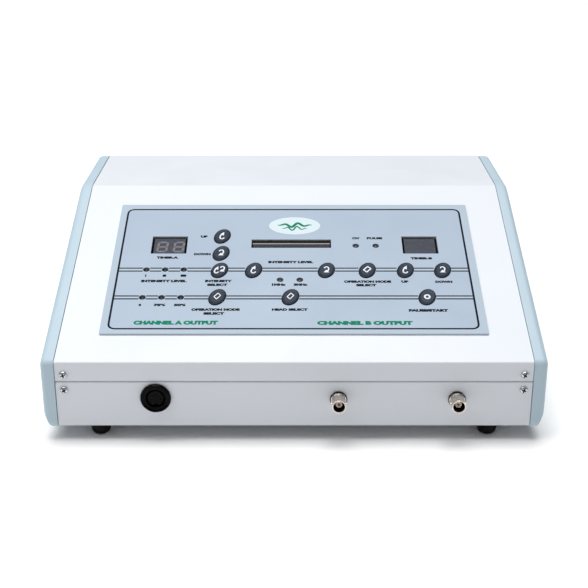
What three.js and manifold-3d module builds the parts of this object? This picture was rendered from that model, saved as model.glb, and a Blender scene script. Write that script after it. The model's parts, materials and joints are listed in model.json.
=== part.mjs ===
// Desktop ultrasound therapy console: a folded sheet-metal case with a sloping membrane keypad, closed at
// each end by a moulded cheek. The front wall carries one round multi-pin socket and two coaxial sockets,
// the rear wall the mains inlet, power switch and fuse holder.
//
// Millimetres, +Z up, the front wall faces -Y. The origin is the centre of the footprint at floor level.
import * as THREE from "three";
import { mergeVertices } from "three/addons/utils/BufferGeometryUtils.js";
import Module from "manifold-3d";

const wasm = await Module();
wasm.setup();

// ---------------------------------------------------------------- driving dimensions

const CASE_WIDTH = 330; // between the two cheeks
const CHEEK = 10; // thickness of a cheek
const CHEEK_WALL = 2.5;
const CHEEK_BELOW = 1.5; // how far a cheek reaches below the case
const FRONT_HEIGHT = 49; // case bottom to the front crease
const SLOPE_RUN = 196;
const SLOPE_RISE = 69;
const TOP_RUN = 98;
const FOOT_HEIGHT = 10.5;
const SHEET = 1.2; // steel thickness
const BEND = 1.5; // outer bend radius
const GAP = 0.3; // between pieces that touch
const FRONT_SEAM = 34.6; // where the cover's lip meets the tray on the front wall
const REAR_SEAM = 98;
const SOCKET_REACH = 12.5; // how far a coaxial socket stands out of the front wall
const FUSE_CAP_REACH = 9.5; // how far the fuse cap stands out of the rear wall

const DEPTH = SLOPE_RUN + TOP_RUN;
const CASE_HEIGHT = FRONT_HEIGHT + SLOPE_RISE;
const HALF = CASE_WIDTH / 2;
const SLOPE_ANGLE = Math.atan2(SLOPE_RISE, SLOPE_RUN);

// Stack on the slope, measured outwards from the steel: switch layer, printed film, keys.
const CIRCUIT = [0.1, 0.5];
const FILM = [0.6, 1.2];
const KEY = [1.0, 2.0];
const BOARD_TOP = -12; // top of the control board, below the slope

// Panel layout on the slope: x to the right, v up the slope from the front crease.
const FILM_HALF_WIDTH = 137.3;
const FILM_LOW = 27.7;
const FILM_HIGH = 179.6;
const ROW_HIGH = 97.2;
const ROW_LOW = 66.7;
const KEYS = {
  key_timer_a_up: [-55.5, 138.3],
  key_timer_a_down: [-55.5, 117.4],
  key_intensity_select: [-55.7, ROW_HIGH],
  key_level_down: [-30.2, ROW_HIGH],
  key_level_up: [24.2, ROW_HIGH],
  key_mode_b: [54.8, ROW_HIGH],
  key_timer_b_up: [83.3, ROW_HIGH],
  key_timer_b_down: [111.1, ROW_HIGH],
  key_mode_a: [-55.9, ROW_LOW],
  key_head_select: [-2.6, ROW_LOW],
  key_start_pause: [97, ROW_LOW],
};
const KEY_HALF_WIDTH = 6.3; // of the oval before it leans
const KEY_HALF_HEIGHT = 8.8;
const KEY_LEAN = 1.4; // how far the top of the oval leans to the right
const KEY_CLEARANCE = 0.15;
const LAMPS = {
  intensity_lamps: [-110.5, -96.5, -82.5].map((x) => [x, 98.4]),
  mode_lamps: [-110.5, -96.5, -82.5].map((x) => [x, ROW_LOW]),
  head_lamps: [-10.3, 4.3].map((x) => [x, 86.6]),
  wave_lamps: [47.4, 62.7].map((x) => [x, 127]),
};
const LAMP_RADIUS = 2.3;
const LAMP_WINDOW = 2.6;
const DISPLAYS = { display_a: [-95.6, 128], display_b: [96.6, 128] };
const DISPLAY_WINDOW = [27.2, 21];
const BAR_CENTRE = [-2.1, 129.6];
const BAR_WINDOW = [61.2, 10.2];

// Front and rear wall fittings, as [x, height above the case bottom].
const MULTI_PIN = [-95.9, 22.3];
const COAX = { left: [30.9, 21.2], right: [113, 21.2] };
const INLET = [-112, 40];
const SWITCH = [-70, 40];
const FUSE = [-40, 40];
const MULTI_PIN_NECK = 8; // radius of the part that goes through the wall, here and for the next two
const COAX_NECK = 5.3;
const FUSE_NECK = 6.2;
const INLET_BODY = [27.2, 20];
const SWITCH_BODY = [13.2, 19.2];
const ON_WALL = 0.2; // a bezel's back face, just clear of the wall
const PROUD = 3; // a cutting tool's reach past a wall or bezel
const FOOT_X = 137.4;
const FOOT_INSET = 13;
const SCREW_X = 159;
const SCREW_ABOVE_SEAM = 5;
const SCREW_BELOW_SEAM = 6.4;
const SCREW_HOLE = 1.8;

// Inside the case: the generator board, its studs, and the mains transformer's core.
const BOARD_X = [-40, 120];
const BOARD_Y = [92, 222];
const BOARD_HEIGHT = 8;
const BOARD = 1.6; // thickness of either board
const ON_BOARD = BOARD_HEIGHT + BOARD + GAP;
const STUD = 3; // radius of a board stud
const HEADER = 8; // reach of a ribbon header past the far face of its board
const CORE = { x: [-140, -74], y: [186, 243], z: [SHEET + GAP, 57] };
const WINDING_OVERHANG = 12; // of the winding past the core, front and back
const LIMB = 22; // width of the core's middle limb
const CORE_WINDOW = 11;
const CORE_WINDOW_HEIGHTS = [CORE.z[0] + 13, CORE.z[1] - 10];

// ---------------------------------------------------------------- finishes

const finish = (color, roughness, metalness = 0) =>
  new THREE.MeshStandardMaterial({ color, roughness, metalness });
const POWDER_COAT = finish(0xeef1f5, 0.45);
const CHEEK_PLASTIC = finish(0xb9d2de, 0.5);
const PRINTED_FILM = finish(0xb3c4d8, 0.4);
const KEY_FILM = finish(0x4b5262, 0.45);
const BLACK_PLASTIC = finish(0x101114, 0.35);
const SMOKED_LENS = finish(0x4a4c55, 0.15);
const LAMP_LENS = finish(0x3a2624, 0.15);
const NICKEL = finish(0xb8afa6, 0.25, 1);
const DARK_NICKEL = finish(0x5d5853, 0.35, 1);
const WHITE_INSULATOR = finish(0xd9c9bb, 0.5);
const ZINC_SCREW = finish(0xc4c7c9, 0.3, 1);
const RUBBER = finish(0x17171a, 0.85);
const CIRCUIT_BOARD = finish(0x1f5a3a, 0.55);
const CORE_STEEL = finish(0x4a4c50, 0.6, 0.8);
const COPPER_WINDING = finish(0xa8642c, 0.4, 0.6);
const ALUMINIUM = finish(0xaab0b5, 0.4, 1);
const FERRITE = finish(0x35363a, 0.7);
const CAPACITOR_SLEEVE = finish(0x27304a, 0.35);
const GREY_RIBBON = finish(0x9a9da3, 0.6);
const GLASS_FUSE = finish(0xcfd8dc, 0.1);

// ---------------------------------------------------------------- geometry helpers

const X = new THREE.Vector3(1, 0, 0);
const Y = new THREE.Vector3(0, 1, 0);
const Z = new THREE.Vector3(0, 0, 1);
const PLAIN = { bevelEnabled: false };

function solidOf(geometry) {
  const bare = geometry.index ? geometry.toNonIndexed() : geometry.clone();
  bare.deleteAttribute("normal");
  bare.deleteAttribute("uv");
  const merged = mergeVertices(bare, 1e-3);
  return new wasm.Manifold(
    new wasm.Mesh({
      numProp: 3,
      vertProperties: merged.attributes.position.array,
      triVerts: new Uint32Array(merged.index.array),
    }),
  );
}

function geometryOf(solid) {
  const { vertProperties, triVerts } = solid.getMesh();
  const geometry = new THREE.BufferGeometry();
  geometry.setAttribute("position", new THREE.Float32BufferAttribute(vertProperties, 3));
  geometry.setIndex(new THREE.BufferAttribute(new Uint32Array(triVerts), 1));
  geometry.computeVertexNormals();
  return geometry;
}

const cut = (base, ...tools) =>
  geometryOf(tools.reduce((left, tool) => left.subtract(solidOf(tool)), solidOf(base)));

const join = (first, ...others) =>
  geometryOf(others.reduce((sum, other) => sum.add(solidOf(other)), solidOf(first)));

function box([x0, x1], [y0, y1], [z0, z1]) {
  const made = new THREE.BoxGeometry(x1 - x0, y1 - y0, z1 - z0);
  return made.translate((x0 + x1) / 2, (y0 + y1) / 2, (z0 + z1) / 2);
}

// A box by its centre in x and z, between two values of y: a cut-out or body on the front or rear wall.
const wallBox = ([x, z], [width, height], ys) =>
  box([x - width / 2, x + width / 2], ys, [z - height / 2, z + height / 2]);

// A profile of [radius, y] points turned about the Y axis. It starts and ends on the axis, or closes.
function turned(profile, sides = 24) {
  const points = profile.map(([r, y]) => new THREE.Vector2(r, y));
  if (THREE.ShapeUtils.area(points) < 0) points.reverse();
  if (profile.some(([r]) => r === 0)) {
    while (points[0].x > 0 || points[points.length - 1].x > 0) points.push(points.shift());
  } else points.push(points[0].clone());
  return new THREE.LatheGeometry(points, sides);
}

const upright = (geometry) => geometry.rotateX(Math.PI / 2);

const rodAlongY = (radius, [y0, y1], [x, z], sides = 20) =>
  new THREE.CylinderGeometry(radius, radius, y1 - y0, sides).translate(x, (y0 + y1) / 2, z);

// A section drawn in (y, z) and carried along x.
function alongX(shape, [x0, x1]) {
  const made = new THREE.ExtrudeGeometry(shape, { ...PLAIN, depth: x1 - x0 });
  return made.translate(0, 0, x0).applyMatrix4(new THREE.Matrix4().makeBasis(Y, Z, X));
}

// Corner points with each corner turned into an arc of its own radius.
function rounded(corners, radii, steps) {
  const count = corners.length;
  return corners.flatMap(([a, b], i) => {
    const here = new THREE.Vector2(a, b);
    if (!radii[i]) return [here];
    const back = new THREE.Vector2(...corners[(i + count - 1) % count]).sub(here).normalize();
    const on = new THREE.Vector2(...corners[(i + 1) % count]).sub(here).normalize();
    const half = back.angleTo(on) / 2;
    const towards = back.clone().add(on).normalize();
    const centre = here.clone().addScaledVector(towards, radii[i] / Math.sin(half));
    const start = here.clone().addScaledVector(back, radii[i] / Math.tan(half)).sub(centre);
    const end = here.clone().addScaledVector(on, radii[i] / Math.tan(half)).sub(centre);
    const turn = Math.atan2(start.cross(end), start.dot(end));
    return Array.from({ length: steps + 1 }, (_, k) =>
      start.clone().rotateAround(new THREE.Vector2(), (turn * k) / steps).add(centre),
    );
  });
}

// The same open line of corners, moved sideways by a distance: left of its direction where positive.
function offset(corners, distance) {
  const normals = corners.slice(1).map(([a, b], i) => {
    const along = new THREE.Vector2(a - corners[i][0], b - corners[i][1]).normalize();
    return new THREE.Vector2(-along.y, along.x);
  });
  return corners.map(([a, b], i) => {
    const before = normals[Math.max(i - 1, 0)];
    const after = normals[Math.min(i, normals.length - 1)];
    const share = distance / (1 + before.dot(after));
    return [a + (before.x + after.x) * share, b + (before.y + after.y) * share];
  });
}

// The section of a folded sheet: its outer line, and back along the inner one. side is +1 where the
// inside lies to the left of the outer line, -1 where it lies to the right.
function foldedSheet(corners, side) {
  const radii = (r) => corners.map((_, i) => (i && i < corners.length - 1 ? r : 0));
  const outer = rounded(corners, radii(BEND), 5);
  const inner = rounded(offset(corners, side * SHEET), radii(BEND - SHEET), 5);
  return new THREE.Shape([...outer, ...inner.reverse()]);
}

// Closed rings of equal length joined side to side, with each end ring closed by a fan.
function loft(rings) {
  const size = rings[0].length;
  const ends = [rings[0], rings[rings.length - 1]].map((ring) =>
    ring.reduce((sum, p) => sum.add(p), new THREE.Vector3()).divideScalar(size),
  );
  const points = [...rings.flat(), ...ends];
  const [low, high] = [points.length - 2, points.length - 1];
  const last = (rings.length - 1) * size;
  const faces = [];
  for (let i = 0; i < size; i++) {
    const next = (i + 1) % size;
    faces.push(low, next, i, high, last + i, last + next);
    for (let base = 0; base < last; base += size) {
      faces.push(base + i, base + next, base + size + i);
      faces.push(base + next, base + size + next, base + size + i);
    }
  }
  const made = new THREE.BufferGeometry().setFromPoints(points);
  made.setIndex(faces);
  made.computeVertexNormals();
  return made;
}

function rectangle([x, y], [width, height], radius = 0) {
  const corners = [
    [x - width / 2, y - height / 2],
    [x + width / 2, y - height / 2],
    [x + width / 2, y + height / 2],
    [x - width / 2, y + height / 2],
  ];
  return rounded(corners, corners.map(() => radius), 4);
}

const circle = ([x, y], radius, sides = 20) =>
  Array.from({ length: sides }, (_, i) => {
    const angle = (2 * Math.PI * i) / sides;
    return new THREE.Vector2(x + radius * Math.cos(angle), y + radius * Math.sin(angle));
  });

// The leaning oval of a key, grown by a margin.
const oval = ([x, y], grow = 0, sides = 28) =>
  Array.from({ length: sides }, (_, i) => {
    const angle = (2 * Math.PI * i) / sides;
    const rise = Math.sin(angle);
    return new THREE.Vector2(
      x + (KEY_HALF_WIDTH + grow) * Math.cos(angle) + KEY_LEAN * rise,
      y + (KEY_HALF_HEIGHT + grow) * rise,
    );
  });

// A flat plate drawn in (x, y), between two heights.
const plate = (outline, [low, high]) =>
  new THREE.ExtrudeGeometry(new THREE.Shape(outline), { ...PLAIN, depth: high - low }).translate(0, 0, low);

// The same with holes, each one an outline of its own.
const piercedPlate = (outline, holes, [low, high]) =>
  cut(plate(outline, [low, high]), ...holes.map((hole) => plate(hole, [low - 1, high + 1])));

// ---------------------------------------------------------------- the assembly's groups

// The case group's z = 0 is the underside of the steel, and its y = 0 the face of the front wall.
const device = new THREE.Group();
const caseGroup = new THREE.Group();
caseGroup.position.set(0, (SOCKET_REACH - DEPTH - FUSE_CAP_REACH) / 2, FOOT_HEIGHT);
device.add(caseGroup);

// The slope group's y runs up the slope from the front crease, and its z is the outward normal.
const slopeGroup = new THREE.Group();
slopeGroup.position.set(0, 0, FRONT_HEIGHT);
slopeGroup.rotation.x = SLOPE_ANGLE;
caseGroup.add(slopeGroup);
slopeGroup.updateMatrix();

const onSlope = (geometry) => geometry.clone().applyMatrix4(slopeGroup.matrix);

function piece(name, geometry, material, group = caseGroup) {
  const mesh = new THREE.Mesh(geometry, material);
  mesh.name = name;
  group.add(mesh);
  return mesh;
}

// ---------------------------------------------------------------- sheet-metal case

const CASE_CORNERS = [
  [0, 0],
  [0, FRONT_HEIGHT],
  [SLOPE_RUN, CASE_HEIGHT],
  [DEPTH, CASE_HEIGHT],
  [DEPTH, 0],
];
const WALL_SCREWS = [
  ["front", 0, 1, FRONT_SEAM],
  ["rear", DEPTH, -1, REAR_SEAM],
];
const RETURN_FLANGE = 12; // of the tray, folded in along each seam

function screwHoles(above) {
  return WALL_SCREWS.flatMap(([, wall, , seam]) =>
    [-SCREW_X, SCREW_X].map((x) =>
      rodAlongY(
        SCREW_HOLE,
        [wall - PROUD, wall + PROUD],
        [x, seam + (above ? SCREW_ABOVE_SEAM : -SCREW_BELOW_SEAM)],
        12,
      ),
    ),
  );
}

// The cover: front lip, slope and top in one sheet, with a rear lip, the panel's cut-outs and four studs.
function topCover() {
  const lip = SHEET / 3; // dark line left between the lip and the tray
  const section = foldedSheet(
    [
      [0, FRONT_SEAM + lip],
      [0, FRONT_HEIGHT],
      [SLOPE_RUN, CASE_HEIGHT],
      [DEPTH, CASE_HEIGHT],
      [DEPTH, REAR_SEAM + lip],
    ],
    -1,
  );
  const through = [-2 * SHEET, SHEET];
  const windows = [
    ...Object.values(DISPLAYS).map((at) => rectangle(at, DISPLAY_WINDOW)),
    rectangle(BAR_CENTRE, BAR_WINDOW),
    ...Object.values(LAMPS).flat().map((at) => circle(at, LAMP_WINDOW, 16)),
  ].map((outline) => onSlope(plate(outline, through)));
  const studs = [-122, 122].flatMap((x) =>
    [60, 152].map((v) => {
      const stud = new THREE.CylinderGeometry(STUD, STUD, -BOARD_TOP - GAP - SHEET / 2, 12);
      return onSlope(upright(stud).translate(x, v, (BOARD_TOP + GAP - SHEET / 2) / 2));
    }),
  );
  return cut(join(alongX(section, [-HALF, HALF]), ...studs), ...windows, ...screwHoles(true));
}

// The tray: floor, front wall and rear wall, each wall folded in along its seam.
function bottomTray() {
  const section = foldedSheet(
    [
      [RETURN_FLANGE, FRONT_SEAM],
      [0, FRONT_SEAM],
      [0, 0],
      [DEPTH, 0],
      [DEPTH, REAR_SEAM],
      [DEPTH - RETURN_FLANGE, REAR_SEAM],
    ],
    1,
  );
  const front = [-PROUD, PROUD];
  const rear = [DEPTH - PROUD, DEPTH + PROUD];
  const slot = 3;
  const slotPitch = 10;
  const cutouts = [
    rodAlongY(MULTI_PIN_NECK + GAP, front, MULTI_PIN),
    ...Object.values(COAX).map((at) => rodAlongY(COAX_NECK + GAP, front, at)),
    wallBox(INLET, [INLET_BODY[0] + 2 * GAP, INLET_BODY[1] + 2 * GAP], rear),
    wallBox(SWITCH, [SWITCH_BODY[0] + 2 * GAP, SWITCH_BODY[1] + 2 * GAP], rear),
    rodAlongY(FUSE_NECK + GAP, rear, FUSE),
    ...Array.from({ length: 12 }, (_, i) => wallBox([20 + slotPitch * i, 52], [slot, 44], rear)),
    ...Array.from({ length: 8 }, (_, i) => {
      const x = -142 + slotPitch * i;
      return box([x, x + slot], [180, 240], [-PROUD, PROUD]);
    }),
  ];
  const inset = 8; // of a stud from the generator board's corner
  const studs = [BOARD_X[0] + inset, BOARD_X[1] - inset].flatMap((x) =>
    [BOARD_Y[0] + inset, BOARD_Y[1] - inset].map((y) => {
      const stud = new THREE.CylinderGeometry(STUD, STUD, BOARD_HEIGHT - SHEET / 2 - GAP, 12);
      return upright(stud).translate(x, y, (BOARD_HEIGHT + SHEET / 2 - GAP) / 2);
    }),
  );
  return cut(join(alongX(section, [-HALF, HALF]), ...studs), ...cutouts, ...screwHoles(false));
}

// A cheek's solid outline, a little proud of the steel all round, rounded over on its outer edge.
function cheekBlank() {
  const proud = 0.8;
  const roundOver = 4.5;
  const closed = offset([...CASE_CORNERS, CASE_CORNERS[0]], proud).slice(0, -1);
  closed[0] = [-proud, -CHEEK_BELOW];
  closed[4] = [DEPTH + proud, -CHEEK_BELOW];
  const outline = new THREE.Shape(rounded(closed, [5.5, 5.5, 40, 8, 5.5], 6));
  const solid = new THREE.ExtrudeGeometry(outline, {
    depth: CHEEK - GAP,
    bevelThickness: roundOver,
    bevelSize: roundOver,
    bevelOffset: -roundOver,
    bevelSegments: 4,
  })
    .translate(0, 0, HALF + GAP - roundOver)
    .applyMatrix4(new THREE.Matrix4().makeBasis(Y, Z, X));
  const innerSide = box([0, HALF + GAP], [-CHEEK, DEPTH + CHEEK], [-CHEEK, CASE_HEIGHT + CHEEK]);
  return cut(solid, innerSide);
}

// The tool for the bevel along a cheek's foot: 11 mm up its outer face, 5 mm in at the bottom.
function cheekFootBevel() {
  const steepness = 2.5;
  const [inner, bottom] = [HALF + CHEEK - 5.4, -CHEEK_BELOW - 1];
  const section = new THREE.Shape([
    new THREE.Vector2(inner, bottom),
    new THREE.Vector2(inner + CHEEK, bottom),
    new THREE.Vector2(inner + CHEEK, bottom + steepness * CHEEK),
  ]);
  return new THREE.ExtrudeGeometry(section, { ...PLAIN, depth: DEPTH + 2 * CHEEK })
    .applyMatrix4(new THREE.Matrix4().makeBasis(X, Z, Y.clone().negate()))
    .translate(0, DEPTH + CHEEK, 0);
}

// The hollow of a cheek, from its inner side out to some depth, with its floor at some height.
function cheekPocket(floor, depth) {
  const room = offset([...CASE_CORNERS, CASE_CORNERS[0]], -CHEEK_WALL).slice(0, -1);
  room[0] = [CHEEK_WALL, floor];
  room[4] = [DEPTH - CHEEK_WALL, floor];
  return alongX(new THREE.Shape(room.map(([a, b]) => new THREE.Vector2(a, b))), [HALF, depth]);
}

// A cheek: a hollow moulding with two screw bosses behind each wall. side is -1 for the left one, +1 for
// the right.
function cheek(side) {
  const outer = HALF + CHEEK;
  const bossDepth = 12.5;
  const bosses = WALL_SCREWS.flatMap(([, face, inward, seam]) =>
    [
      [seam + 0.8, seam + 8.8],
      [seam - 10.2, seam - 1.8],
    ].map((heights) => {
      const ends = [face + inward * (SHEET + GAP), face + inward * bossDepth];
      return box([SCREW_X - 6, outer - CHEEK_WALL + 1], ends.sort((a, b) => a - b), heights);
    }),
  );
  const pilots = WALL_SCREWS.flatMap(([, face, , seam]) =>
    [SCREW_ABOVE_SEAM, -SCREW_BELOW_SEAM].map((rise) =>
      rodAlongY(1.7, [face - bossDepth - 1, face + bossDepth + 1], [SCREW_X, seam + rise], 12),
    ),
  );
  const pockets = [cheekPocket(1.5, HALF + 3.5), cheekPocket(8.5, outer - CHEEK_WALL)];
  const hollow = cut(cheekBlank(), cheekFootBevel(), ...pockets);
  const made = cut(join(hollow, ...bosses), ...pilots);
  return side > 0 ? made : geometryOf(solidOf(made).mirror([1, 0, 0]));
}

// A pan-head screw whose head sits on a wall: its shank points along +Y.
function wallScrew() {
  return turned([
    [0, -1.9],
    [1.3, -1.8],
    [2.2, -1.4],
    [2.75, -0.6],
    [2.75, -0.15],
    [1.4, -0.15],
    [1.4, 10],
    [0.4, 11.5],
    [0, 11.5],
  ], 16);
}

// A rubber foot: a tapered disc with a counterbored hole for its screw.
function foot() {
  return upright(
    turned([
      [1.7, -0.2],
      [1.7, -3.6],
      [3.4, -3.6],
      [3.4, -FOOT_HEIGHT],
      [5, -FOOT_HEIGHT],
      [6, -FOOT_HEIGHT + 0.8],
      [6.6, -FOOT_HEIGHT + 2.2],
      [7.1, -3],
      [7.1, -0.2],
    ]),
  );
}

// ---------------------------------------------------------------- keypad and display group, on the slope

function printedFilm() {
  const centre = [0, (FILM_LOW + FILM_HIGH) / 2];
  const outline = rectangle(centre, [2 * FILM_HALF_WIDTH, FILM_HIGH - FILM_LOW], 1.2);
  const holes = [
    ...Object.values(KEYS).map((at) => oval(at, KEY_CLEARANCE)),
    ...Object.values(LAMPS).flat().map((at) => circle(at, LAMP_WINDOW, 16)),
    ...Object.values(DISPLAYS).map((at) => rectangle(at, DISPLAY_WINDOW)),
    rectangle(BAR_CENTRE, BAR_WINDOW),
  ];
  return piercedPlate(outline, holes, FILM);
}

function switchLayer() {
  const edge = 4; // the switch layer stops short of the film's edge
  const centre = [0, (FILM_LOW + FILM_HIGH) / 2];
  const size = [2 * (FILM_HALF_WIDTH - edge), FILM_HIGH - FILM_LOW - 2 * edge];
  const holes = [
    ...Object.values(LAMPS).flat().map((at) => circle(at, LAMP_WINDOW + 0.2, 12)),
    ...Object.values(DISPLAYS).map((at) => rectangle(at, DISPLAY_WINDOW)),
    rectangle(BAR_CENTRE, BAR_WINDOW),
  ];
  return piercedPlate(rectangle(centre, size), holes, CIRCUIT);
}

// An embossed key: an upright rim with a shallow dome on it.
function key() {
  const [low, high] = KEY;
  const rise = high - low;
  const rings = [
    [0, 1],
    [0.45 * rise, 1],
    [0.75 * rise, 0.93],
    [0.93 * rise, 0.78],
    [rise, 0.5],
  ];
  return loft(
    rings.map(([height, scale]) =>
      oval([0, 0]).map((p) => new THREE.Vector3(p.x * scale, p.y * scale, low + height)),
    ),
  );
}

// A row of lamps on one spacer bar that stands on the control board.
function lampRow(places) {
  const xs = places.map(([x]) => x);
  const v = places[0][1];
  const barTop = BOARD_TOP + 6;
  const bar = box(
    [Math.min(...xs) - 3.5, Math.max(...xs) + 3.5],
    [v - 3.5, v + 3.5],
    [BOARD_TOP + GAP, barTop],
  );
  const lamps = xs.map((x) =>
    upright(
      turned(
        [
          [0, barTop - 1],
          [LAMP_RADIUS, barTop - 1],
          [LAMP_RADIUS, -0.6],
          [1.95, 0.2],
          [1.2, 0.75],
          [0, 1],
        ],
        16,
      ),
    ).translate(x, v, 0),
  );
  return join(bar, ...lamps);
}

// A two-digit display block on its pins.
function displayBlock() {
  const body = box([-12.6, 12.6], [-9.6, 9.6], [-7.8, 0.2]);
  const pins = [-8, 8].map((v) => box([-11, 11], [v - 0.4, v + 0.4], [BOARD_TOP + GAP, -7.5]));
  return join(body, ...pins);
}

// The level meter: a long bar of lamp segments on two pin rows.
function barMeter() {
  const body = box([-30.2, 30.2], [-4.7, 4.7], [-7.8, 0]);
  const window = box([-29.4, 29.4], [0.6, 3.2], [-0.3, 0.6]);
  const pins = [-3.4, 3.4].map((v) => box([-28, 28], [v - 0.3, v + 0.3], [BOARD_TOP + GAP, -7.5]));
  return join(cut(body, window), ...pins);
}

function controlBoard() {
  const board = box([-130, 130], [52, 160], [BOARD_TOP - BOARD, BOARD_TOP]);
  const chips = [-80, -20, 40].map((x) =>
    box([x, x + 22], [110, 118], [BOARD_TOP - 5, BOARD_TOP - BOARD / 2]),
  );
  const header = box([-14, 14], [56, 64], [BOARD_TOP - HEADER, BOARD_TOP - BOARD / 2]);
  return join(board, ...chips, header);
}

// ---------------------------------------------------------------- sockets on the front wall

// The round socket's shell: a wide bezel in front of the wall and a threaded neck through it.
function multiPinShell() {
  return turned(
    [
      [6.6, -2.2],
      [9.6, -2.9],
      [10.4, -2.4],
      [10.7, -1.4],
      [10.7, -ON_WALL],
      [MULTI_PIN_NECK, -ON_WALL],
      [MULTI_PIN_NECK, 11],
      [6.6, 11],
    ],
    32,
  );
}

// The insert that carries the five contacts, with a keyway at its foot.
function multiPinInsert() {
  const face = -1.2;
  const body = rodAlongY(5.6, [face, 9], [0, 0], 28);
  const seat = rodAlongY(6.3, [7, 10.5], [0, 0], 28);
  const contacts = [0, 45, 90, 135, 180].map((degrees) => {
    const angle = THREE.MathUtils.degToRad(degrees);
    return rodAlongY(0.9, [face - 1, 5], [3.3 * Math.cos(angle), 3.3 * Math.sin(angle)], 10);
  });
  const keyway = box([-1.1, 1.1], [face - 1, 6], [-7, -4.1]);
  return cut(join(body, seat), ...contacts, keyway);
}

const ringNut = (bore, radius, [y0, y1], sides) =>
  cut(rodAlongY(radius, [y0, y1], [0, 0], sides), rodAlongY(bore, [y0 - 1, y1 + 1], [0, 0], 24));

// A coaxial bayonet socket: barrel, two locking lugs, threaded neck and a flange behind the wall.
function coaxSocket() {
  const barrel = turned([
    [4.05, -SOCKET_REACH],
    [4.7, -SOCKET_REACH],
    [4.85, -SOCKET_REACH + 0.3],
    [4.85, -3],
    [COAX_NECK, -2.7],
    [COAX_NECK, SHEET + GAP],
    [7.4, SHEET + GAP],
    [7.4, 4],
    [4.6, 4],
    [4.6, 12],
    [2.65, 12],
    [2.65, -4],
    [4.05, -4],
  ]);
  const lug = (sign) =>
    new THREE.CylinderGeometry(0.95, 0.95, 1.2, 10)
      .rotateZ(Math.PI / 2)
      .translate(sign * 5.05, -SOCKET_REACH + 4.7, 0);
  return join(barrel, lug(-1), lug(1));
}

// The insulator and centre contact inside the barrel, with the solder pin behind.
function coaxContact() {
  return turned(
    [
      [0, -7],
      [0.7, -7],
      [0.7, -8.8],
      [2.35, -8.8],
      [2.35, 12.4],
      [0.7, 12.4],
      [0.7, 16],
      [0, 16],
    ],
    20,
  );
}

function coaxNut() {
  const ring = ringNut(COAX_NECK + GAP, 6.4, [-1.5, -GAP], 24);
  const notches = [45, 135, 225, 315].map((degrees) =>
    box([5.8, 7], [-1.8, -0.9], [-0.6, 0.6]).rotateY(THREE.MathUtils.degToRad(degrees)),
  );
  return cut(ring, ...notches);
}

// ---------------------------------------------------------------- rear wall fittings

const INLET_BEZEL = [31, 25];
const INLET_CAVITY = [24, 16.6];
const INLET_DEPTH = 16;

// A three-blade mains inlet: bezel, body and a cavity whose upper corners are cut off.
function mainsInlet() {
  const [w, h] = INLET_CAVITY.map((side) => side / 2);
  const chamfer = 4.5;
  const mouth = new THREE.Shape(
    [[-w, -h], [w, -h], [w, h - chamfer], [w - chamfer, h], [chamfer - w, h], [-w, h - chamfer]].map(
      ([x, z]) => new THREE.Vector2(x, z),
    ),
  );
  const cavity = new THREE.ExtrudeGeometry(mouth, { ...PLAIN, depth: INLET_DEPTH + PROUD })
    .applyMatrix4(new THREE.Matrix4().makeBasis(X, Z, Y.clone().negate()))
    .translate(0, PROUD, 0);
  const bezel = wallBox([0, 0], INLET_BEZEL, [ON_WALL, 2.6]);
  const body = wallBox([0, 0], INLET_BODY, [-INLET_DEPTH - 2, 0.5]);
  const poles = [[-7, -2], [7, -2], [0, 2]];
  const blades = poles.map((at) => wallBox(at, [2, 4], [-INLET_DEPTH - 0.5, 0.4]));
  const tabs = poles.map((at) => wallBox(at, [0.8, 4.8], [-INLET_DEPTH - 10, -INLET_DEPTH - 1.5]));
  return join(cut(join(bezel, body), cavity), ...blades, ...tabs);
}

const ROCKER_RADIUS = 8.2;
const ROCKER_TILT = THREE.MathUtils.degToRad(10);
const ROCKER_PIVOT = -0.6; // pivot's distance behind the rear wall

// The power switch's housing: a bezel and a body hollowed out for the rocker.
function switchFrame() {
  const bezel = wallBox([0, 0], [15, 21], [ON_WALL, 2.2]);
  const body = wallBox([0, 0], SWITCH_BODY, [-16, 0.5]);
  const room = wallBox([0, 0], [10.2, 2 * ROCKER_RADIUS + 0.6], [-9.5, 4]);
  const tabs = [-6, 0, 6].map((z) => wallBox([0, z], [4.8, 0.8], [-24, -15.5]));
  return join(cut(join(bezel, body), room), ...tabs);
}

// The rocker's section: two shallow faces that meet at the middle, and ends struck about the pivot.
function rocker() {
  const end = Math.asin(7.2 / ROCKER_RADIUS);
  const arc = (from, to) =>
    Array.from({ length: 5 }, (_, i) => {
      const angle = from + ((to - from) * i) / 4;
      return new THREE.Vector2(ROCKER_RADIUS * Math.cos(angle), ROCKER_RADIUS * Math.sin(angle));
    });
  const section = new THREE.Shape([
    new THREE.Vector2(2.7, 0),
    ...arc(end, 2),
    ...arc(-2, -end),
  ]);
  return alongX(section, [-4.8, 4.8]);
}

// The fuse holder: a flange outside the wall, a long body inside, and a stepped bore.
function fuseHolder() {
  return turned([
    [5.3, 2.4],
    [8, 2.4],
    [8, ON_WALL],
    [FUSE_NECK, ON_WALL],
    [FUSE_NECK, -12],
    [5, -14],
    [5, -34],
    [0, -34],
    [0, -31],
    [3.2, -31],
    [3.2, -9],
    [5.3, -9],
  ], 24);
}

function fuseCap() {
  const top = FUSE_CAP_REACH;
  const cap = turned([
    [0, -5.5],
    [4.9, -5.5],
    [4.9, 2.8],
    [6.6, 2.8],
    [6.6, top - 0.8],
    [5.8, top],
    [0, top],
  ]);
  return cut(cap, box([-6, 6], [top - 1.6, top + 1], [-0.7, 0.7]));
}

const fuseLink = () => turned([[0, -28], [2.55, -28], [2.55, -8], [0, -8]], 16);

// ---------------------------------------------------------------- inside the case

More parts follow.
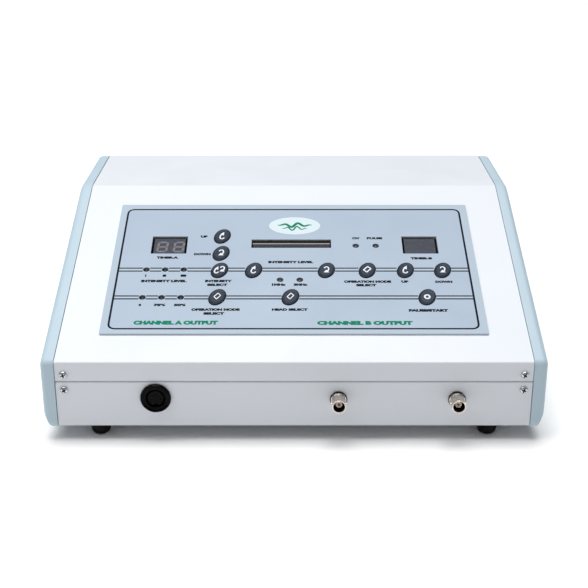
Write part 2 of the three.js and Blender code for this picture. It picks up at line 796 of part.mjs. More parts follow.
const generatorBoard = () => {
  const board = box(BOARD_X, BOARD_Y, [BOARD_HEIGHT, BOARD_HEIGHT + BOARD]);
  const chips = [0, 40].map((x) => box([x, x + 28], [112, 120], [BOARD_HEIGHT + 1, BOARD_HEIGHT + 5]));
  const header = box([-14, 14], [94, 102], [BOARD_HEIGHT + 1, BOARD_HEIGHT + HEADER]);
  return join(board, ...chips, header);
};

// A comb of fins on a thick back plate, standing along the rear of the generator board.
function heatsink() {
  const back = box([20, 110], [212, 216], [ON_BOARD, ON_BOARD + 40]);
  const fins = Array.from({ length: 10 }, (_, i) =>
    box([20 + 9.75 * i, 22.2 + 9.75 * i], [190, 213], [ON_BOARD, ON_BOARD + 40]),
  );
  return join(back, ...fins);
}

const outputTransformer = () =>
  upright(
    turned([[0, 0], [15, 0], [15, 18], [12, 18], [12, 16.5], [5, 16.5], [5, 18], [0, 18]], 20),
  ).translate(0, 150, ON_BOARD);

const capacitor = () =>
  upright(
    turned([[0, 0], [10.4, 0], [11, 1], [11, 29], [10.2, 30], [9.6, 29.4], [0, 29.4]], 20),
  ).translate(90, 150, ON_BOARD);

const buzzer = () =>
  upright(turned([[0, 0], [6, 0], [6, 9], [1.5, 9], [1.5, 7], [0, 7]], 16)).translate(-20, 190, ON_BOARD);

// The mains transformer's laminated core: three limbs, and a mounting foot along each side.
function transformerCore() {
  const { x, y, z } = CORE;
  const core = [y[0] + WINDING_OVERHANG, y[1] - WINDING_OVERHANG];
  const windows = [-1, 1].map((side) => {
    const middle = (x[0] + x[1]) / 2 + (side * (LIMB + CORE_WINDOW)) / 2;
    return box([middle - CORE_WINDOW / 2, middle + CORE_WINDOW / 2], y, CORE_WINDOW_HEIGHTS);
  });
  const sole = box([x[0] - 8, x[1] + 8], core, [z[0], z[0] + 3.2]);
  return join(cut(box(x, core, [z[0] + 3, z[1]]), ...windows), sole);
}

// The winding: a rounded sleeve around the middle limb.
function transformerWinding() {
  const { x, y } = CORE;
  const centre = [(x[0] + x[1]) / 2, (y[0] + y[1]) / 2];
  const length = y[1] - y[0];
  const hole = rectangle(centre, [LIMB + 2 * GAP, length - 2 * WINDING_OVERHANG + 2 * GAP]);
  const outline = rectangle(centre, [LIMB + 2 * CORE_WINDOW - 1, length], WINDING_OVERHANG / 2);
  const [low, high] = CORE_WINDOW_HEIGHTS;
  return piercedPlate(outline, [hole], [low + GAP, high - GAP]);
}

// The ribbon from the control board's header down to the generator board's.
function ribbonCable() {
  const start = onSlopePoint(60, BOARD_TOP - HEADER - GAP);
  const end = [98, BOARD_HEIGHT + HEADER + GAP + 0.5];
  const line = new THREE.CubicBezierCurve(
    new THREE.Vector2(...start),
    new THREE.Vector2(start[0] + 6, start[1] - 22),
    new THREE.Vector2(end[0], end[1] + 26),
    new THREE.Vector2(...end),
  ).getPoints(12);
  const corners = line.map((p) => [p.x, p.y]);
  const back = offset(corners, 0.9).reverse();
  const section = new THREE.Shape([...corners, ...back].map(([a, b]) => new THREE.Vector2(a, b)));
  return alongX(section, [-12.7, 12.7]);
}

// A point of the slope's own (v, outward) axes, as the case's [y, z].
function onSlopePoint(v, outward) {
  const [c, s] = [Math.cos(SLOPE_ANGLE), Math.sin(SLOPE_ANGLE)];
  return [v * c - outward * s, FRONT_HEIGHT + v * s + outward * c];
}

// ---------------------------------------------------------------- assembly

piece("top_cover", topCover(), POWDER_COAT);
piece("bottom_tray", bottomTray(), POWDER_COAT);
piece("left_cheek", cheek(-1), CHEEK_PLASTIC);
piece("right_cheek", cheek(1), CHEEK_PLASTIC);

for (const [wallName, face, inward, seam] of WALL_SCREWS) {
  for (const [level, rise] of [["upper", SCREW_ABOVE_SEAM], ["lower", -SCREW_BELOW_SEAM]]) {
    for (const [sideName, sign] of [["left", -1], ["right", 1]]) {
      const screw = piece(`screw_${wallName}_${level}_${sideName}`, wallScrew(), ZINC_SCREW);
      screw.position.set(sign * SCREW_X, face, seam + rise);
      screw.rotation.z = inward > 0 ? 0 : Math.PI;
    }
  }
}
for (const [endName, y] of [["front", FOOT_INSET], ["rear", DEPTH - FOOT_INSET]]) {
  for (const [sideName, sign] of [["left", -1], ["right", 1]]) {
    piece(`foot_${endName}_${sideName}`, foot(), RUBBER).position.set(sign * FOOT_X, y, 0);
  }
}

piece("printed_film", printedFilm(), PRINTED_FILM, slopeGroup);
piece("switch_layer", switchLayer(), WHITE_INSULATOR, slopeGroup);
for (const [name, [x, v]] of Object.entries(KEYS)) {
  piece(name, key(), KEY_FILM, slopeGroup).position.set(x, v, 0);
}
for (const [name, places] of Object.entries(LAMPS)) {
  piece(name, lampRow(places), LAMP_LENS, slopeGroup);
}
for (const [name, [x, v]] of Object.entries(DISPLAYS)) {
  piece(name, displayBlock(), SMOKED_LENS, slopeGroup).position.set(x, v, 0);
}
piece("bar_meter", barMeter(), SMOKED_LENS, slopeGroup).position.set(...BAR_CENTRE, 0);
piece("control_board", controlBoard(), CIRCUIT_BOARD, slopeGroup);

const atWall = (mesh, [x, z], y) => mesh.position.set(x, y, z);
atWall(piece("multi_pin_shell", multiPinShell(), BLACK_PLASTIC), MULTI_PIN, 0);
atWall(piece("multi_pin_insert", multiPinInsert(), BLACK_PLASTIC), MULTI_PIN, 0);
const shellNut = ringNut(MULTI_PIN_NECK + GAP, 11, [SHEET + GAP, 4.5], 6);
atWall(piece("multi_pin_nut", shellNut, DARK_NICKEL), MULTI_PIN, 0);
for (const [sideName, at] of Object.entries(COAX)) {
  atWall(piece(`coax_${sideName}_socket`, coaxSocket(), NICKEL), at, 0);
  atWall(piece(`coax_${sideName}_contact`, coaxContact(), WHITE_INSULATOR), at, 0);
  atWall(piece(`coax_${sideName}_nut`, coaxNut(), DARK_NICKEL), at, 0);
}

atWall(piece("mains_inlet", mainsInlet(), BLACK_PLASTIC), INLET, DEPTH);
atWall(piece("switch_frame", switchFrame(), BLACK_PLASTIC), SWITCH, DEPTH);
const paddle = piece("switch_rocker", rocker(), BLACK_PLASTIC);
atWall(paddle, SWITCH, DEPTH + ROCKER_PIVOT);
paddle.rotation.x = -ROCKER_TILT;
atWall(piece("fuse_holder", fuseHolder(), BLACK_PLASTIC), FUSE, DEPTH);
atWall(piece("fuse_cap", fuseCap(), BLACK_PLASTIC), FUSE, DEPTH);
atWall(piece("fuse_link", fuseLink(), GLASS_FUSE), FUSE, DEPTH);

piece("generator_board", generatorBoard(), CIRCUIT_BOARD);
piece("heatsink", heatsink(), ALUMINIUM);
piece("output_transformer", outputTransformer(), FERRITE);
piece("capacitor", capacitor(), CAPACITOR_SLEEVE);
piece("buzzer", buzzer(), BLACK_PLASTIC);
piece("transformer_core", transformerCore(), CORE_STEEL);
piece("transformer_winding", transformerWinding(), COPPER_WINDING);
piece("ribbon_cable", ribbonCable(), GREY_RIBBON);

export default device;
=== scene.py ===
import json
import math

import bmesh
import bpy
import numpy as np
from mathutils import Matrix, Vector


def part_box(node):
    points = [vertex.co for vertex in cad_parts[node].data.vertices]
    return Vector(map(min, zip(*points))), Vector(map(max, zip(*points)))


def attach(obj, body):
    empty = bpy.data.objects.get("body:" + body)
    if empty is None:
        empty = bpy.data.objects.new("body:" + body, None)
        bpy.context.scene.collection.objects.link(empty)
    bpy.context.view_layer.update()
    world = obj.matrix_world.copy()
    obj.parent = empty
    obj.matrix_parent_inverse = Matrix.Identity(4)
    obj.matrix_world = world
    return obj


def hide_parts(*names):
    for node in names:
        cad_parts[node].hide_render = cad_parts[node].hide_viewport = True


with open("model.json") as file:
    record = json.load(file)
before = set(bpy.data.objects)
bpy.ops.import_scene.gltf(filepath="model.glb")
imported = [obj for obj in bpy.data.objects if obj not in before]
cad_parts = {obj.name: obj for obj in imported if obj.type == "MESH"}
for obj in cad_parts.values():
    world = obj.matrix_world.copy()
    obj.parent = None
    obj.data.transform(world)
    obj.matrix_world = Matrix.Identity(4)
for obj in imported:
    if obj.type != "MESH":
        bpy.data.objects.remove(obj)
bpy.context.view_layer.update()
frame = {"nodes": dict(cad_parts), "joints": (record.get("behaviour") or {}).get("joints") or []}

# The looks of a desktop ultrasound therapy console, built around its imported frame.
# Lengths inside a place (panel, front wall, rear wall) are millimetres; the scene is in metres.

bl_info = {
    "name": "Ultrasound therapy console",
    "version": (1, 0, 0),
    "blender": (4, 5, 0),
    "location": "3D View > Sidebar > Console",
    "description": "Builds the console's finished pieces, stage, lights and camera",
    "category": "Object",
}

MM = 0.001
MERGE = 1e-6  # points closer than this are one point, in metres
SMOOTH_BELOW = math.radians(35)  # edges flatter than this are shaded smooth
FLAT_BELOW = math.radians(0.5)  # faces that meet flatter than this are one face


def linear(red, green, blue):
    """A screen colour in 0..255 as the linear values that a shader takes."""
    screen = np.array([red, green, blue]) / 255
    low = screen / 12.92
    high = ((screen + 0.055) / 1.055) ** 2.4
    return tuple(np.where(screen <= 0.04045, low, high).tolist())


def opaque(colour):
    """A colour with full alpha, as the colour sockets want it."""
    return (*colour, 1.0)


# ---------------------------------------------------------------- sizes and colours


def size_setting(name, description, millimetres):
    return bpy.props.FloatProperty(
        name=name,
        description=description,
        default=millimetres,
        min=0.0,
        precision=3,
    )


def colour_setting(name, description, *screen):
    return bpy.props.FloatVectorProperty(
        name=name,
        description=description,
        subtype="COLOR",
        size=3,
        min=0.0,
        max=1.0,
        default=linear(*screen),
    )


class ConsoleSizes(bpy.types.PropertyGroup):
    case_edge: size_setting("Case edge", "Rounding of the folded sheet's cut edges, in mm", 0.25)
    cheek_edge: size_setting("Cheek edge", "Rounding of the cheeks' sharp edges, in mm", 0.5)
    fitting_edge: size_setting("Fitting edge", "Rounding of small moulded edges, in mm", 0.3)
    ink: size_setting("Ink", "Height of the printed ink above the film, in mm", 0.03)
    border_line: size_setting("Border line", "Width of the printed border line, in mm", 1.5)
    row_line: size_setting("Row line", "Width of the thin lines through the key rows, in mm", 1.25)
    icon_stroke: size_setting("Icon stroke", "Width of the strokes on the keys, in mm", 1.0)
    digit_height: size_setting("Digit height", "Height of a display digit, in mm", 13.0)
    digit_bar: size_setting("Digit bar", "Width of a display segment, in mm", 1.7)
    recess: size_setting("Screw recess", "Depth of the cross recess in a screw, in mm", 1.1)
    lens: bpy.props.FloatProperty(
        name="Camera lens",
        description="Focal length of the camera",
        default=71.08,
        unit="CAMERA",
    )
    camera_back: bpy.props.FloatProperty(
        name="Camera distance",
        description="How far the camera stands in front of the row's origin",
        default=0.8687,
        unit="LENGTH",
    )
    camera_height: bpy.props.FloatProperty(
        name="Camera height",
        description="Height of the camera above the floor",
        default=0.3949,
        unit="LENGTH",
    )
    camera_pitch: bpy.props.FloatProperty(
        name="Camera pitch",
        description="How far the camera looks down",
        default=math.radians(21.5),
        subtype="ANGLE",
    )


class ConsoleColours(bpy.types.PropertyGroup):
    case: colour_setting("Case", "Powder coat of the cover and tray", 216, 220, 226)
    case_shade: colour_setting("Case shade", "Slow drift of the powder coat", 211, 216, 223)
    cheek: colour_setting("Cheeks", "Moulded plastic of the cheeks", 178, 197, 208)
    cheek_shade: colour_setting("Cheek shade", "Slow drift of the cheeks' plastic", 170, 191, 203)
    film: colour_setting("Film", "Printed film of the keypad", 153, 169, 187)
    film_shade: colour_setting("Film shade", "Slow drift of the film's print", 149, 166, 185)
    ink: colour_setting("Ink", "Dark print on the film", 3, 6, 14)
    pale_band: colour_setting("Pale band", "Pale print round the border and between row lines", 173, 187, 200)
    line: colour_setting("Line", "Slate border and row lines", 6, 18, 36)
    accent: colour_setting("Accent", "Green titles and badge wave", 0, 122, 92)
    badge: colour_setting("Badge", "Pale ellipse of the badge", 205, 220, 224)
    icon: colour_setting("Icon", "White signs on the keys", 226, 230, 236)
    key: colour_setting("Key", "Dished face of a key", 30, 43, 60)
    # Painted shade: a key's rim is coloured darker than its face.
    key_rim_shade: colour_setting("Key rim", "Raised rim of a key", 8, 12, 20)
    start_key: colour_setting("Start key", "Dished face of the start key", 37, 50, 67)
    display: colour_setting("Display face", "Face of the two displays", 82, 86, 98)
    digit: colour_setting("Digit", "Unlit segments", 112, 106, 112)
    lens_dark: colour_setting("Dark lamp", "Smoked lamp lenses", 22, 27, 38)
    lens_clear: colour_setting("Clear lamp", "Water-clear lamp lenses", 74, 82, 92)
    black: colour_setting("Black plastic", "Sockets, switch and fuse cap", 9, 8, 9)
    rubber: colour_setting("Rubber", "Feet", 14, 14, 15)
    nickel: colour_setting("Nickel", "Bright plating of the coaxial sockets", 214, 205, 196)
    zinc: colour_setting("Zinc", "Bright zinc of the screws", 206, 209, 212)
    brass: colour_setting("Contact metal", "Contacts in the round socket", 196, 176, 132)
    insulator: colour_setting("Insulator", "Pale insulator of the coaxial sockets", 236, 216, 200)
    board: colour_setting("Circuit board", "Solder mask", 24, 82, 52)
    copper: colour_setting("Copper", "Winding wire", 168, 92, 44)
    floor: colour_setting("Floor", "Plain pale floor", 250, 250, 250)


def sizes():
    return bpy.context.scene.console_sizes


def colours():
    return bpy.context.scene.console_colours


# ---------------------------------------------------------------- places on the console


def points_of(node):
    """The node's vertices in the row frame, one to a row."""
    mesh = frame["nodes"][node].data
    flat = np.empty(len(mesh.vertices) * 3)
    mesh.vertices.foreach_get("co", flat)
    return flat.reshape(-1, 3)


def axes(origin, right, up, out):
    """A place as a 3 by 4 array: point in metres = origin + (x right + y up + z out) in mm."""
    turn = np.column_stack([right, up, out]) * MM
    return np.column_stack([turn, origin])


def span(node, place):
    """A node's lowest and highest corner in a place's own millimetres."""
    local = (points_of(node) - place[:, 3]) @ place[:, :3] / MM**2
    return local.min(0), local.max(0)


def middle(node, place):
    """The centre of a node's box in a place, across and up."""
    low, high = span(node, place)
    return ((low + high) / 2)[:2]


FILM_LOW = 27.7  # the film's lower edge above the front crease, along the slope
FILM_FACE = 1.2  # the film's face above the steel


def panel_place():
    """The slope: across from the middle, up from the front crease, and out of the steel."""
    press = next(j for j in frame["joints"] if j["name"] == "key_mode_a_press")
    out = -np.array(press["axis"]) / np.linalg.norm(press["axis"])
    up = np.array([0, out[2], -out[1]])
    film = points_of("printed_film")
    origin = up * ((film @ up).min() - FILM_LOW * MM) + out * ((film @ out).max() - FILM_FACE * MM)
    return axes(origin, [1, 0, 0], up, out)


TRAY_LOW, TRAY_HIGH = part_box("bottom_tray")
PANEL = panel_place()
FRONT = axes([0, TRAY_LOW.y, TRAY_LOW.z], [1, 0, 0], [0, 0, 1], [0, -1, 0])
REAR = axes([0, TRAY_HIGH.y, TRAY_LOW.z], [-1, 0, 0], [0, 0, 1], [0, 1, 0])
UNDER = axes([0, 0, TRAY_LOW.z], [1, 0, 0], [0, -1, 0], [0, 0, -1])


# ---------------------------------------------------------------- forms


def form(points, faces, skin=0, tone=0.0):
    """A closed shape: points in mm, faces as lists, which material it takes, and a tone per point."""
    points = np.asarray(points, float).reshape(-1, 3)
    tones = np.broadcast_to(np.asarray(tone, float).ravel(), len(points))
    faces = [list(map(int, face)) for face in faces]
    return {"points": points, "faces": faces, "skin": skin, "tone": tones}


def moved(shape, across, up):
    return {**shape, "points": shape["points"] + [across, up, 0.0]}


def turned_about(shape, degrees):
    """The shape turned about its own out axis."""
    cosine, sine = math.cos(math.radians(degrees)), math.sin(math.radians(degrees))
    turn = np.array([[cosine, sine, 0], [-sine, cosine, 0], [0, 0, 1]])
    return {**shape, "points": shape["points"] @ turn}


def grid_faces(rows, columns, rows_close=False, columns_close=False):
    """Four-cornered faces between neighbouring points of a grid, numbered row by row."""
    row = np.arange(rows if rows_close else rows - 1)[:, None]
    column = np.arange(columns if columns_close else columns - 1)[None, :]
    here = row * columns
    below = (row + 1) % rows * columns
    beside = (column + 1) % columns
    corners = [here + column, here + beside, below + beside, below + column]
    return np.stack(np.broadcast_arrays(*corners), axis=-1).reshape(-1, 4).tolist()


def eased(corners, radius, closed=False, steps=4):
    """A line with its corners rounded: each corner P becomes the curve
    (1-t)^2 A + 2t(1-t) P + t^2 B, where A and B lie a radius before and after P."""
    corners = np.asarray(corners, float)
    before = np.roll(corners, 1, 0)
    after = np.roll(corners, -1, 0)
    to_before = before - corners
    to_after = after - corners
    long_before = np.linalg.norm(to_before, axis=1, keepdims=True)
    long_after = np.linalg.norm(to_after, axis=1, keepdims=True)
    reach_before = np.minimum(radius, long_before * 0.49)
    reach_after = np.minimum(radius, long_after * 0.49)
    start = corners + to_before / long_before * reach_before
    end = corners + to_after / long_after * reach_after
    t = np.linspace(0, 1, steps + 1)[None, :, None]
    curve = (1 - t) ** 2 * start[:, None] + 2 * t * (1 - t) * corners[:, None] + t**2 * end[:, None]
    if closed:
        return curve.reshape(-1, corners.shape[1])
    return np.vstack([corners[:1], curve[1:-1].reshape(-1, corners.shape[1]), corners[-1:]])


def circle(radius, sides=48):
    """Points (r cos a, r sin a) once round."""
    angle = np.arange(sides) * 2 * math.pi / sides
    return np.column_stack([np.cos(angle), np.sin(angle)]) * radius


def rectangle(width, height, radius, steps=5):
    """A rectangle about the origin with rounded corners."""
    x, y = width / 2, height / 2
    return eased([[-x, -y], [x, -y], [x, y], [-x, y]], radius, closed=True, steps=steps)


def inset(outline, distance):
    """A closed outline, anticlockwise, moved inwards by a distance along the mean of its edges' normals."""
    ahead = np.roll(outline, -1, 0) - outline
    behind = outline - np.roll(outline, 1, 0)
    ahead /= np.linalg.norm(ahead, axis=1, keepdims=True)
    behind /= np.linalg.norm(behind, axis=1, keepdims=True)
    along = ahead + behind
    along /= np.linalg.norm(along, axis=1, keepdims=True)
    stretch = 1 / np.maximum(0.5, (along * ahead).sum(1, keepdims=True))
    return outline + np.column_stack([-along[:, 1], along[:, 0]]) * distance * stretch


def lines_at(lines):
    """Points of several outlines, each (outline, height), one row to an outline."""
    return np.stack([np.column_stack([outline, np.full(len(outline), height)]) for outline, height in lines])


def stepped(outline, steps, skin=0):
    """A closed outline carried through steps of (inset, height), its two ends closed with flat faces."""
    rows = lines_at([(inset(outline, distance), height) for distance, height in steps])
    count, sides = len(steps), len(outline)
    faces = grid_faces(count, sides, columns_close=True)
    faces += [list(range(sides))[::-1], list(range((count - 1) * sides, count * sides))]
    return form(rows, faces, skin)


def ring_of(lines):
    """A closed ring whose section goes round through these lines, each (outline, height)."""
    rows = lines_at(lines)
    return form(rows, grid_faces(*rows.shape[:2], rows_close=True, columns_close=True))


def lathe(profile, sides=48, skin=0, ring=False):
    """A profile of (radius, height) turned about the out axis: (r cos a, r sin a, h). It begins
    and ends on the axis, or closes on itself as a ring."""
    profile = np.asarray(profile, float)
    turn = circle(1.0, sides)
    flat = profile[:, None, :1] * turn[None]
    height = np.broadcast_to(profile[:, None, 1:], (*flat.shape[:2], 1))
    faces = grid_faces(len(profile), sides, rows_close=ring, columns_close=True)
    return form(np.concatenate([flat, height], axis=2), faces, skin)


def slab(outline, low, high, edge=0.0, skin=0):
    """A flat plate with this outline between two heights, its upper edge eased by a chamfer."""
    chamfer = [(edge, high)] if edge else []
    return stepped(outline, [(0, low), (0, high - edge), *chamfer], skin)


def block(lows, highs, skin=0, edge=0.2):
    """A box between two corners whose upright and upper edges are eased."""
    lows, highs = np.asarray(lows, float), np.asarray(highs, float)
    size = highs - lows
    centre = (lows + highs) / 2
    outline = rectangle(size[0], size[1], edge, steps=2)
    steps = [(edge, lows[2]), (0, lows[2] + edge), (0, highs[2] - edge), (edge, highs[2])]
    return moved(stepped(outline, steps, skin), centre[0], centre[1])


def stroke(path, width, low, high, closed=False, skin=0):
    """A flat line: a box section of some width carried along a path, mitred at its corners.
    Width and heights may change along the path."""
    path = np.asarray(path, float)
    ahead = np.roll(path, -1, 0) - path
    behind = path - np.roll(path, 1, 0)
    if not closed:
        ahead[-1] = behind[-1]
        behind[0] = ahead[0]
    ahead /= np.linalg.norm(ahead, axis=1, keepdims=True)
    behind /= np.linalg.norm(behind, axis=1, keepdims=True)
    along = ahead + behind
    along /= np.linalg.norm(along, axis=1, keepdims=True)
    stretch = 1 / np.maximum(0.5, (along * ahead).sum(1))
    reach = (np.column_stack([-along[:, 1], along[:, 0]]).T * stretch * np.asarray(width) / 2).T
    low = np.broadcast_to(low, len(path))
    high = np.broadcast_to(high, len(path))
    left, right = path + reach, path - reach
    section = [(left, low), (right, low), (right, high), (left, high)]
    rows = np.stack([np.column_stack([flat, height]) for flat, height in section], axis=1)
    faces = grid_faces(len(path), 4, rows_close=closed, columns_close=True)
    if not closed:
        last = 4 * (len(path) - 1)
        faces += [[3, 2, 1, 0], [last, last + 1, last + 2, last + 3]]
    return form(rows, faces, skin)


def lettering(words, width, height, low, high):
    """Words as a flat plate: the plain font's outlines, swollen and stretched to a width and a height."""
    curve = bpy.data.curves.new("lettering", "FONT")
    curve.body = words
    curve.align_x = "CENTER"
    curve.extrude = 0.5
    curve.offset = LETTER_WEIGHT
    curve.resolution_u = 3
    holder = bpy.data.objects.new("lettering", curve)
    bpy.context.scene.collection.objects.link(holder)
    bpy.context.view_layer.update()
    mesh = bpy.data.meshes.new_from_object(holder)
    flat = np.empty(len(mesh.vertices) * 3)
    mesh.vertices.foreach_get("co", flat)
    faces = [list(face.vertices) for face in mesh.polygons]
    bpy.data.objects.remove(holder)
    bpy.data.curves.remove(curve)
    bpy.data.meshes.remove(mesh)
    points = flat.reshape(-1, 3)
    least, most = points.min(0), points.max(0)
    share = (points - least) / (most - least)
    room = np.array([width, height, high - low])
    return form(share * room + [-width / 2, -height / 2, low], faces)


# ---------------------------------------------------------------- pieces


def dress(piece, body, nodes):
    """Rides the piece on its body, and lets it stand for its CAD nodes."""
    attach(piece, body)
    if nodes:
        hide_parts(*nodes)


def settle(mesh, tidy):
    """Merges doubled points, turns faces outwards and shades all but sharp edges smooth."""
    work = bmesh.new()
    work.from_mesh(mesh)
    bmesh.ops.remove_doubles(work, verts=work.verts, dist=MERGE)
    bmesh.ops.dissolve_degenerate(work, edges=work.edges, dist=MERGE / 10)
    tidy(work)
    work.to_mesh(mesh)
    work.free()
    mesh.polygons.foreach_set("use_smooth", np.ones(len(mesh.polygons), bool))
    mesh.set_sharp_from_angle(angle=SMOOTH_BELOW)
    mesh.update()


def face_outwards(work):
    bmesh.ops.recalc_face_normals(work, faces=work.faces)


def join_flats(work):
    """Joins the triangles of each flat face of a CAD solid into larger faces."""
    bmesh.ops.dissolve_limit(work, angle_limit=FLAT_BELOW, verts=work.verts, edges=work.edges)


def add_piece(name, mesh, finishes):
    """Puts a mesh into the scene as an object at the origin, with its named finishes."""
    for look in finishes:
        mesh.materials.append(finish(look))
    piece = bpy.data.objects.new(name, mesh)
    bpy.context.scene.collection.objects.link(piece)
    return piece


def make_piece(name, place, shapes, finishes, nodes=(), body="console"):
    """One mesh of several closed shapes, set at their place, with a tone attribute on its points."""
    starts = np.cumsum([0] + [len(shape["points"]) for shape in shapes])
    local = np.concatenate([shape["points"] for shape in shapes])
    points = local @ place[:, :3].T + place[:, 3]
    faces = []
    skins = []
    for shape, start in zip(shapes, starts):
        faces += [[corner + start for corner in face] for face in shape["faces"]]
        skins += [shape["skin"]] * len(shape["faces"])
    mesh = bpy.data.meshes.new(name)
    mesh.from_pydata(points.tolist(), [], faces)
    mesh.polygons.foreach_set("material_index", skins)
    tone = mesh.attributes.new("tone", "FLOAT", "POINT")
    tone.data.foreach_set("value", np.concatenate([shape["tone"] for shape in shapes]).astype(np.float32))
    settle(mesh, face_outwards)
    dress(add_piece(name, mesh, finishes), body, nodes)


def finish_copy(name, node, finishes, edge, body="console", skin_of=None, segments=2):
    """The CAD node's own shape, merged, with its sharp edges rounded. skin_of gives each face's
    material from the array of face centres in the row frame."""
    mesh = frame["nodes"][node].data.copy()
    mesh.name = name
    mesh.materials.clear()
    settle(mesh, join_flats)
    piece = add_piece(name, mesh, finishes)
    if skin_of is not None:
        centres = np.empty(len(mesh.polygons) * 3)
        mesh.polygons.foreach_get("center", centres)
        mesh.polygons.foreach_set("material_index", skin_of(centres.reshape(-1, 3)).astype(int))
    bevel = piece.modifiers.new("Rounded edges", "BEVEL")
    bevel.width = edge * MM
    bevel.segments = segments
    bevel.limit_method = "ANGLE"
    bevel.angle_limit = SMOOTH_BELOW
    bevel.miter_outer = "MITER_ARC"
    bevel.harden_normals = False
    shading = piece.modifiers.new("Even shading", "WEIGHTED_NORMAL")
    shading.keep_sharp = True
    dress(piece, body, [node])


def dress_node(node, look):
    """Gives a carried-over CAD node its named finish in every slot of its object."""
    for holder in frame["nodes"][node].material_slots:
        holder.material = finish(look)


# ---------------------------------------------------------------- finishes


def arrange(columns, frames):
    """Sets each column of nodes right of the one before, and each node in the frame of its effect."""
    for across, column in enumerate(columns):
        for down, node in enumerate(column):
            node.location = (across * 240, -down * 320)
    for holder, members in frames.items():
        for node in members:
            node.parent = holder


def moulded(
    colour,
    shade,
    drift_scale,
    grain_scale,
    grain_height,
    fine_height,
    gloss,
    specks,
    speck_colour,
    mirror=0.5,
):
    """Paint, moulded plastic or rubber: slow drift between two tones, sparse specks, a coarse and
    a fine grain in relief, and gloss that varies where hands have been."""
    material = bpy.data.materials.new("finish")
    material.use_nodes = True
    nodes = material.node_tree.nodes
    links = material.node_tree.links
    nodes.clear()

    place = nodes.new("ShaderNodeTexCoord")
    place.label = "Place on the console"
    drift = nodes.new("ShaderNodeTexNoise")
    drift.label = "Slow drift of the batch colour"
    tone = nodes.new("ShaderNodeMix")
    tone.label = "Between the two tones"
    cells = nodes.new("ShaderNodeTexVoronoi")
    cells.label = "Scattered specks"
    mask = nodes.new("ShaderNodeMapRange")
    mask.label = "Only the heart of each speck"
    speckled = nodes.new("ShaderNodeMix")
    speckled.label = "Specks over the colour"
    grain = nodes.new("ShaderNodeTexNoise")
    grain.label = "Coarse grain or orange peel"
    fine = nodes.new("ShaderNodeTexNoise")
    fine.label = "Fine grain"
    relief = nodes.new("ShaderNodeBump")
    relief.label = "Coarse relief"
    fine_relief = nodes.new("ShaderNodeBump")
    fine_relief.label = "Fine relief"
    handling = nodes.new("ShaderNodeTexNoise")
    handling.label = "Where it has been handled"
    polish = nodes.new("ShaderNodeMapRange")
    polish.label = "Roughness from handling"
    shader = nodes.new("ShaderNodeBsdfPrincipled")
    shader.label = "Surface"
    output = nodes.new("ShaderNodeOutputMaterial")
    output.label = "To the piece"
    colour_frame = nodes.new("NodeFrame")
    colour_frame.label = "Colour"
    relief_frame = nodes.new("NodeFrame")
    relief_frame.label = "Relief"
    gloss_frame = nodes.new("NodeFrame")
    gloss_frame.label = "Gloss"
    arrange(
        [
            [place],
            [drift, cells, grain, fine, handling],
            [tone, mask, relief, polish],
            [speckled, fine_relief],
            [shader],
            [output],
        ],
        {
            colour_frame: [drift, tone, cells, mask, speckled],
            relief_frame: [grain, fine, relief, fine_relief],
            gloss_frame: [handling, polish],
        },
    )

    drift.inputs["Scale"].default_value = drift_scale
    drift.inputs["Detail"].default_value = 3
    tone.data_type = "RGBA"
    tone.inputs[6].default_value = opaque(colour)
    tone.inputs[7].default_value = opaque(shade)
    cells.inputs["Scale"].default_value = drift_scale * 18
    mask.inputs["From Min"].default_value = 0.10
    mask.inputs["From Max"].default_value = 0.02
    mask.inputs["To Max"].default_value = specks
    speckled.data_type = "RGBA"
    speckled.inputs[7].default_value = opaque(speck_colour)
    grain.inputs["Scale"].default_value = grain_scale
    grain.inputs["Detail"].default_value = 4
    fine.inputs["Scale"].default_value = grain_scale * 4.7
    fine.inputs["Detail"].default_value = 2
    relief.inputs["Distance"].default_value = grain_height * MM
    fine_relief.inputs["Distance"].default_value = fine_height * MM
    handling.inputs["Scale"].default_value = drift_scale * 2.3
    handling.inputs["Detail"].default_value = 5
    handling.inputs["Distortion"].default_value = 0.6
    polish.inputs["From Min"].default_value = 0.3
    polish.inputs["From Max"].default_value = 0.7
    polish.inputs["To Min"].default_value = gloss[0]
    polish.inputs["To Max"].default_value = gloss[1]
    shader.inputs["Specular IOR Level"].default_value = mirror

    links.new(place.outputs["Object"], drift.inputs["Vector"])
    links.new(place.outputs["Object"], cells.inputs["Vector"])
    links.new(place.outputs["Object"], grain.inputs["Vector"])
    links.new(place.outputs["Object"], fine.inputs["Vector"])
    links.new(place.outputs["Object"], handling.inputs["Vector"])
    links.new(drift.outputs["Fac"], tone.inputs["Factor"])
    links.new(cells.outputs["Distance"], mask.inputs["Value"])
    links.new(mask.outputs["Result"], speckled.inputs["Factor"])
    links.new(tone.outputs[2], speckled.inputs[6])
    links.new(grain.outputs["Fac"], relief.inputs["Height"])
    links.new(fine.outputs["Fac"], fine_relief.inputs["Height"])
    links.new(relief.outputs["Normal"], fine_relief.inputs["Normal"])
    links.new(handling.outputs["Fac"], polish.inputs["Value"])
    links.new(speckled.outputs[2], shader.inputs["Base Color"])
    links.new(polish.outputs["Result"], shader.inputs["Roughness"])
    links.new(fine_relief.outputs["Normal"], shader.inputs["Normal"])
    links.new(shader.outputs["BSDF"], output.inputs["Surface"])
    return material


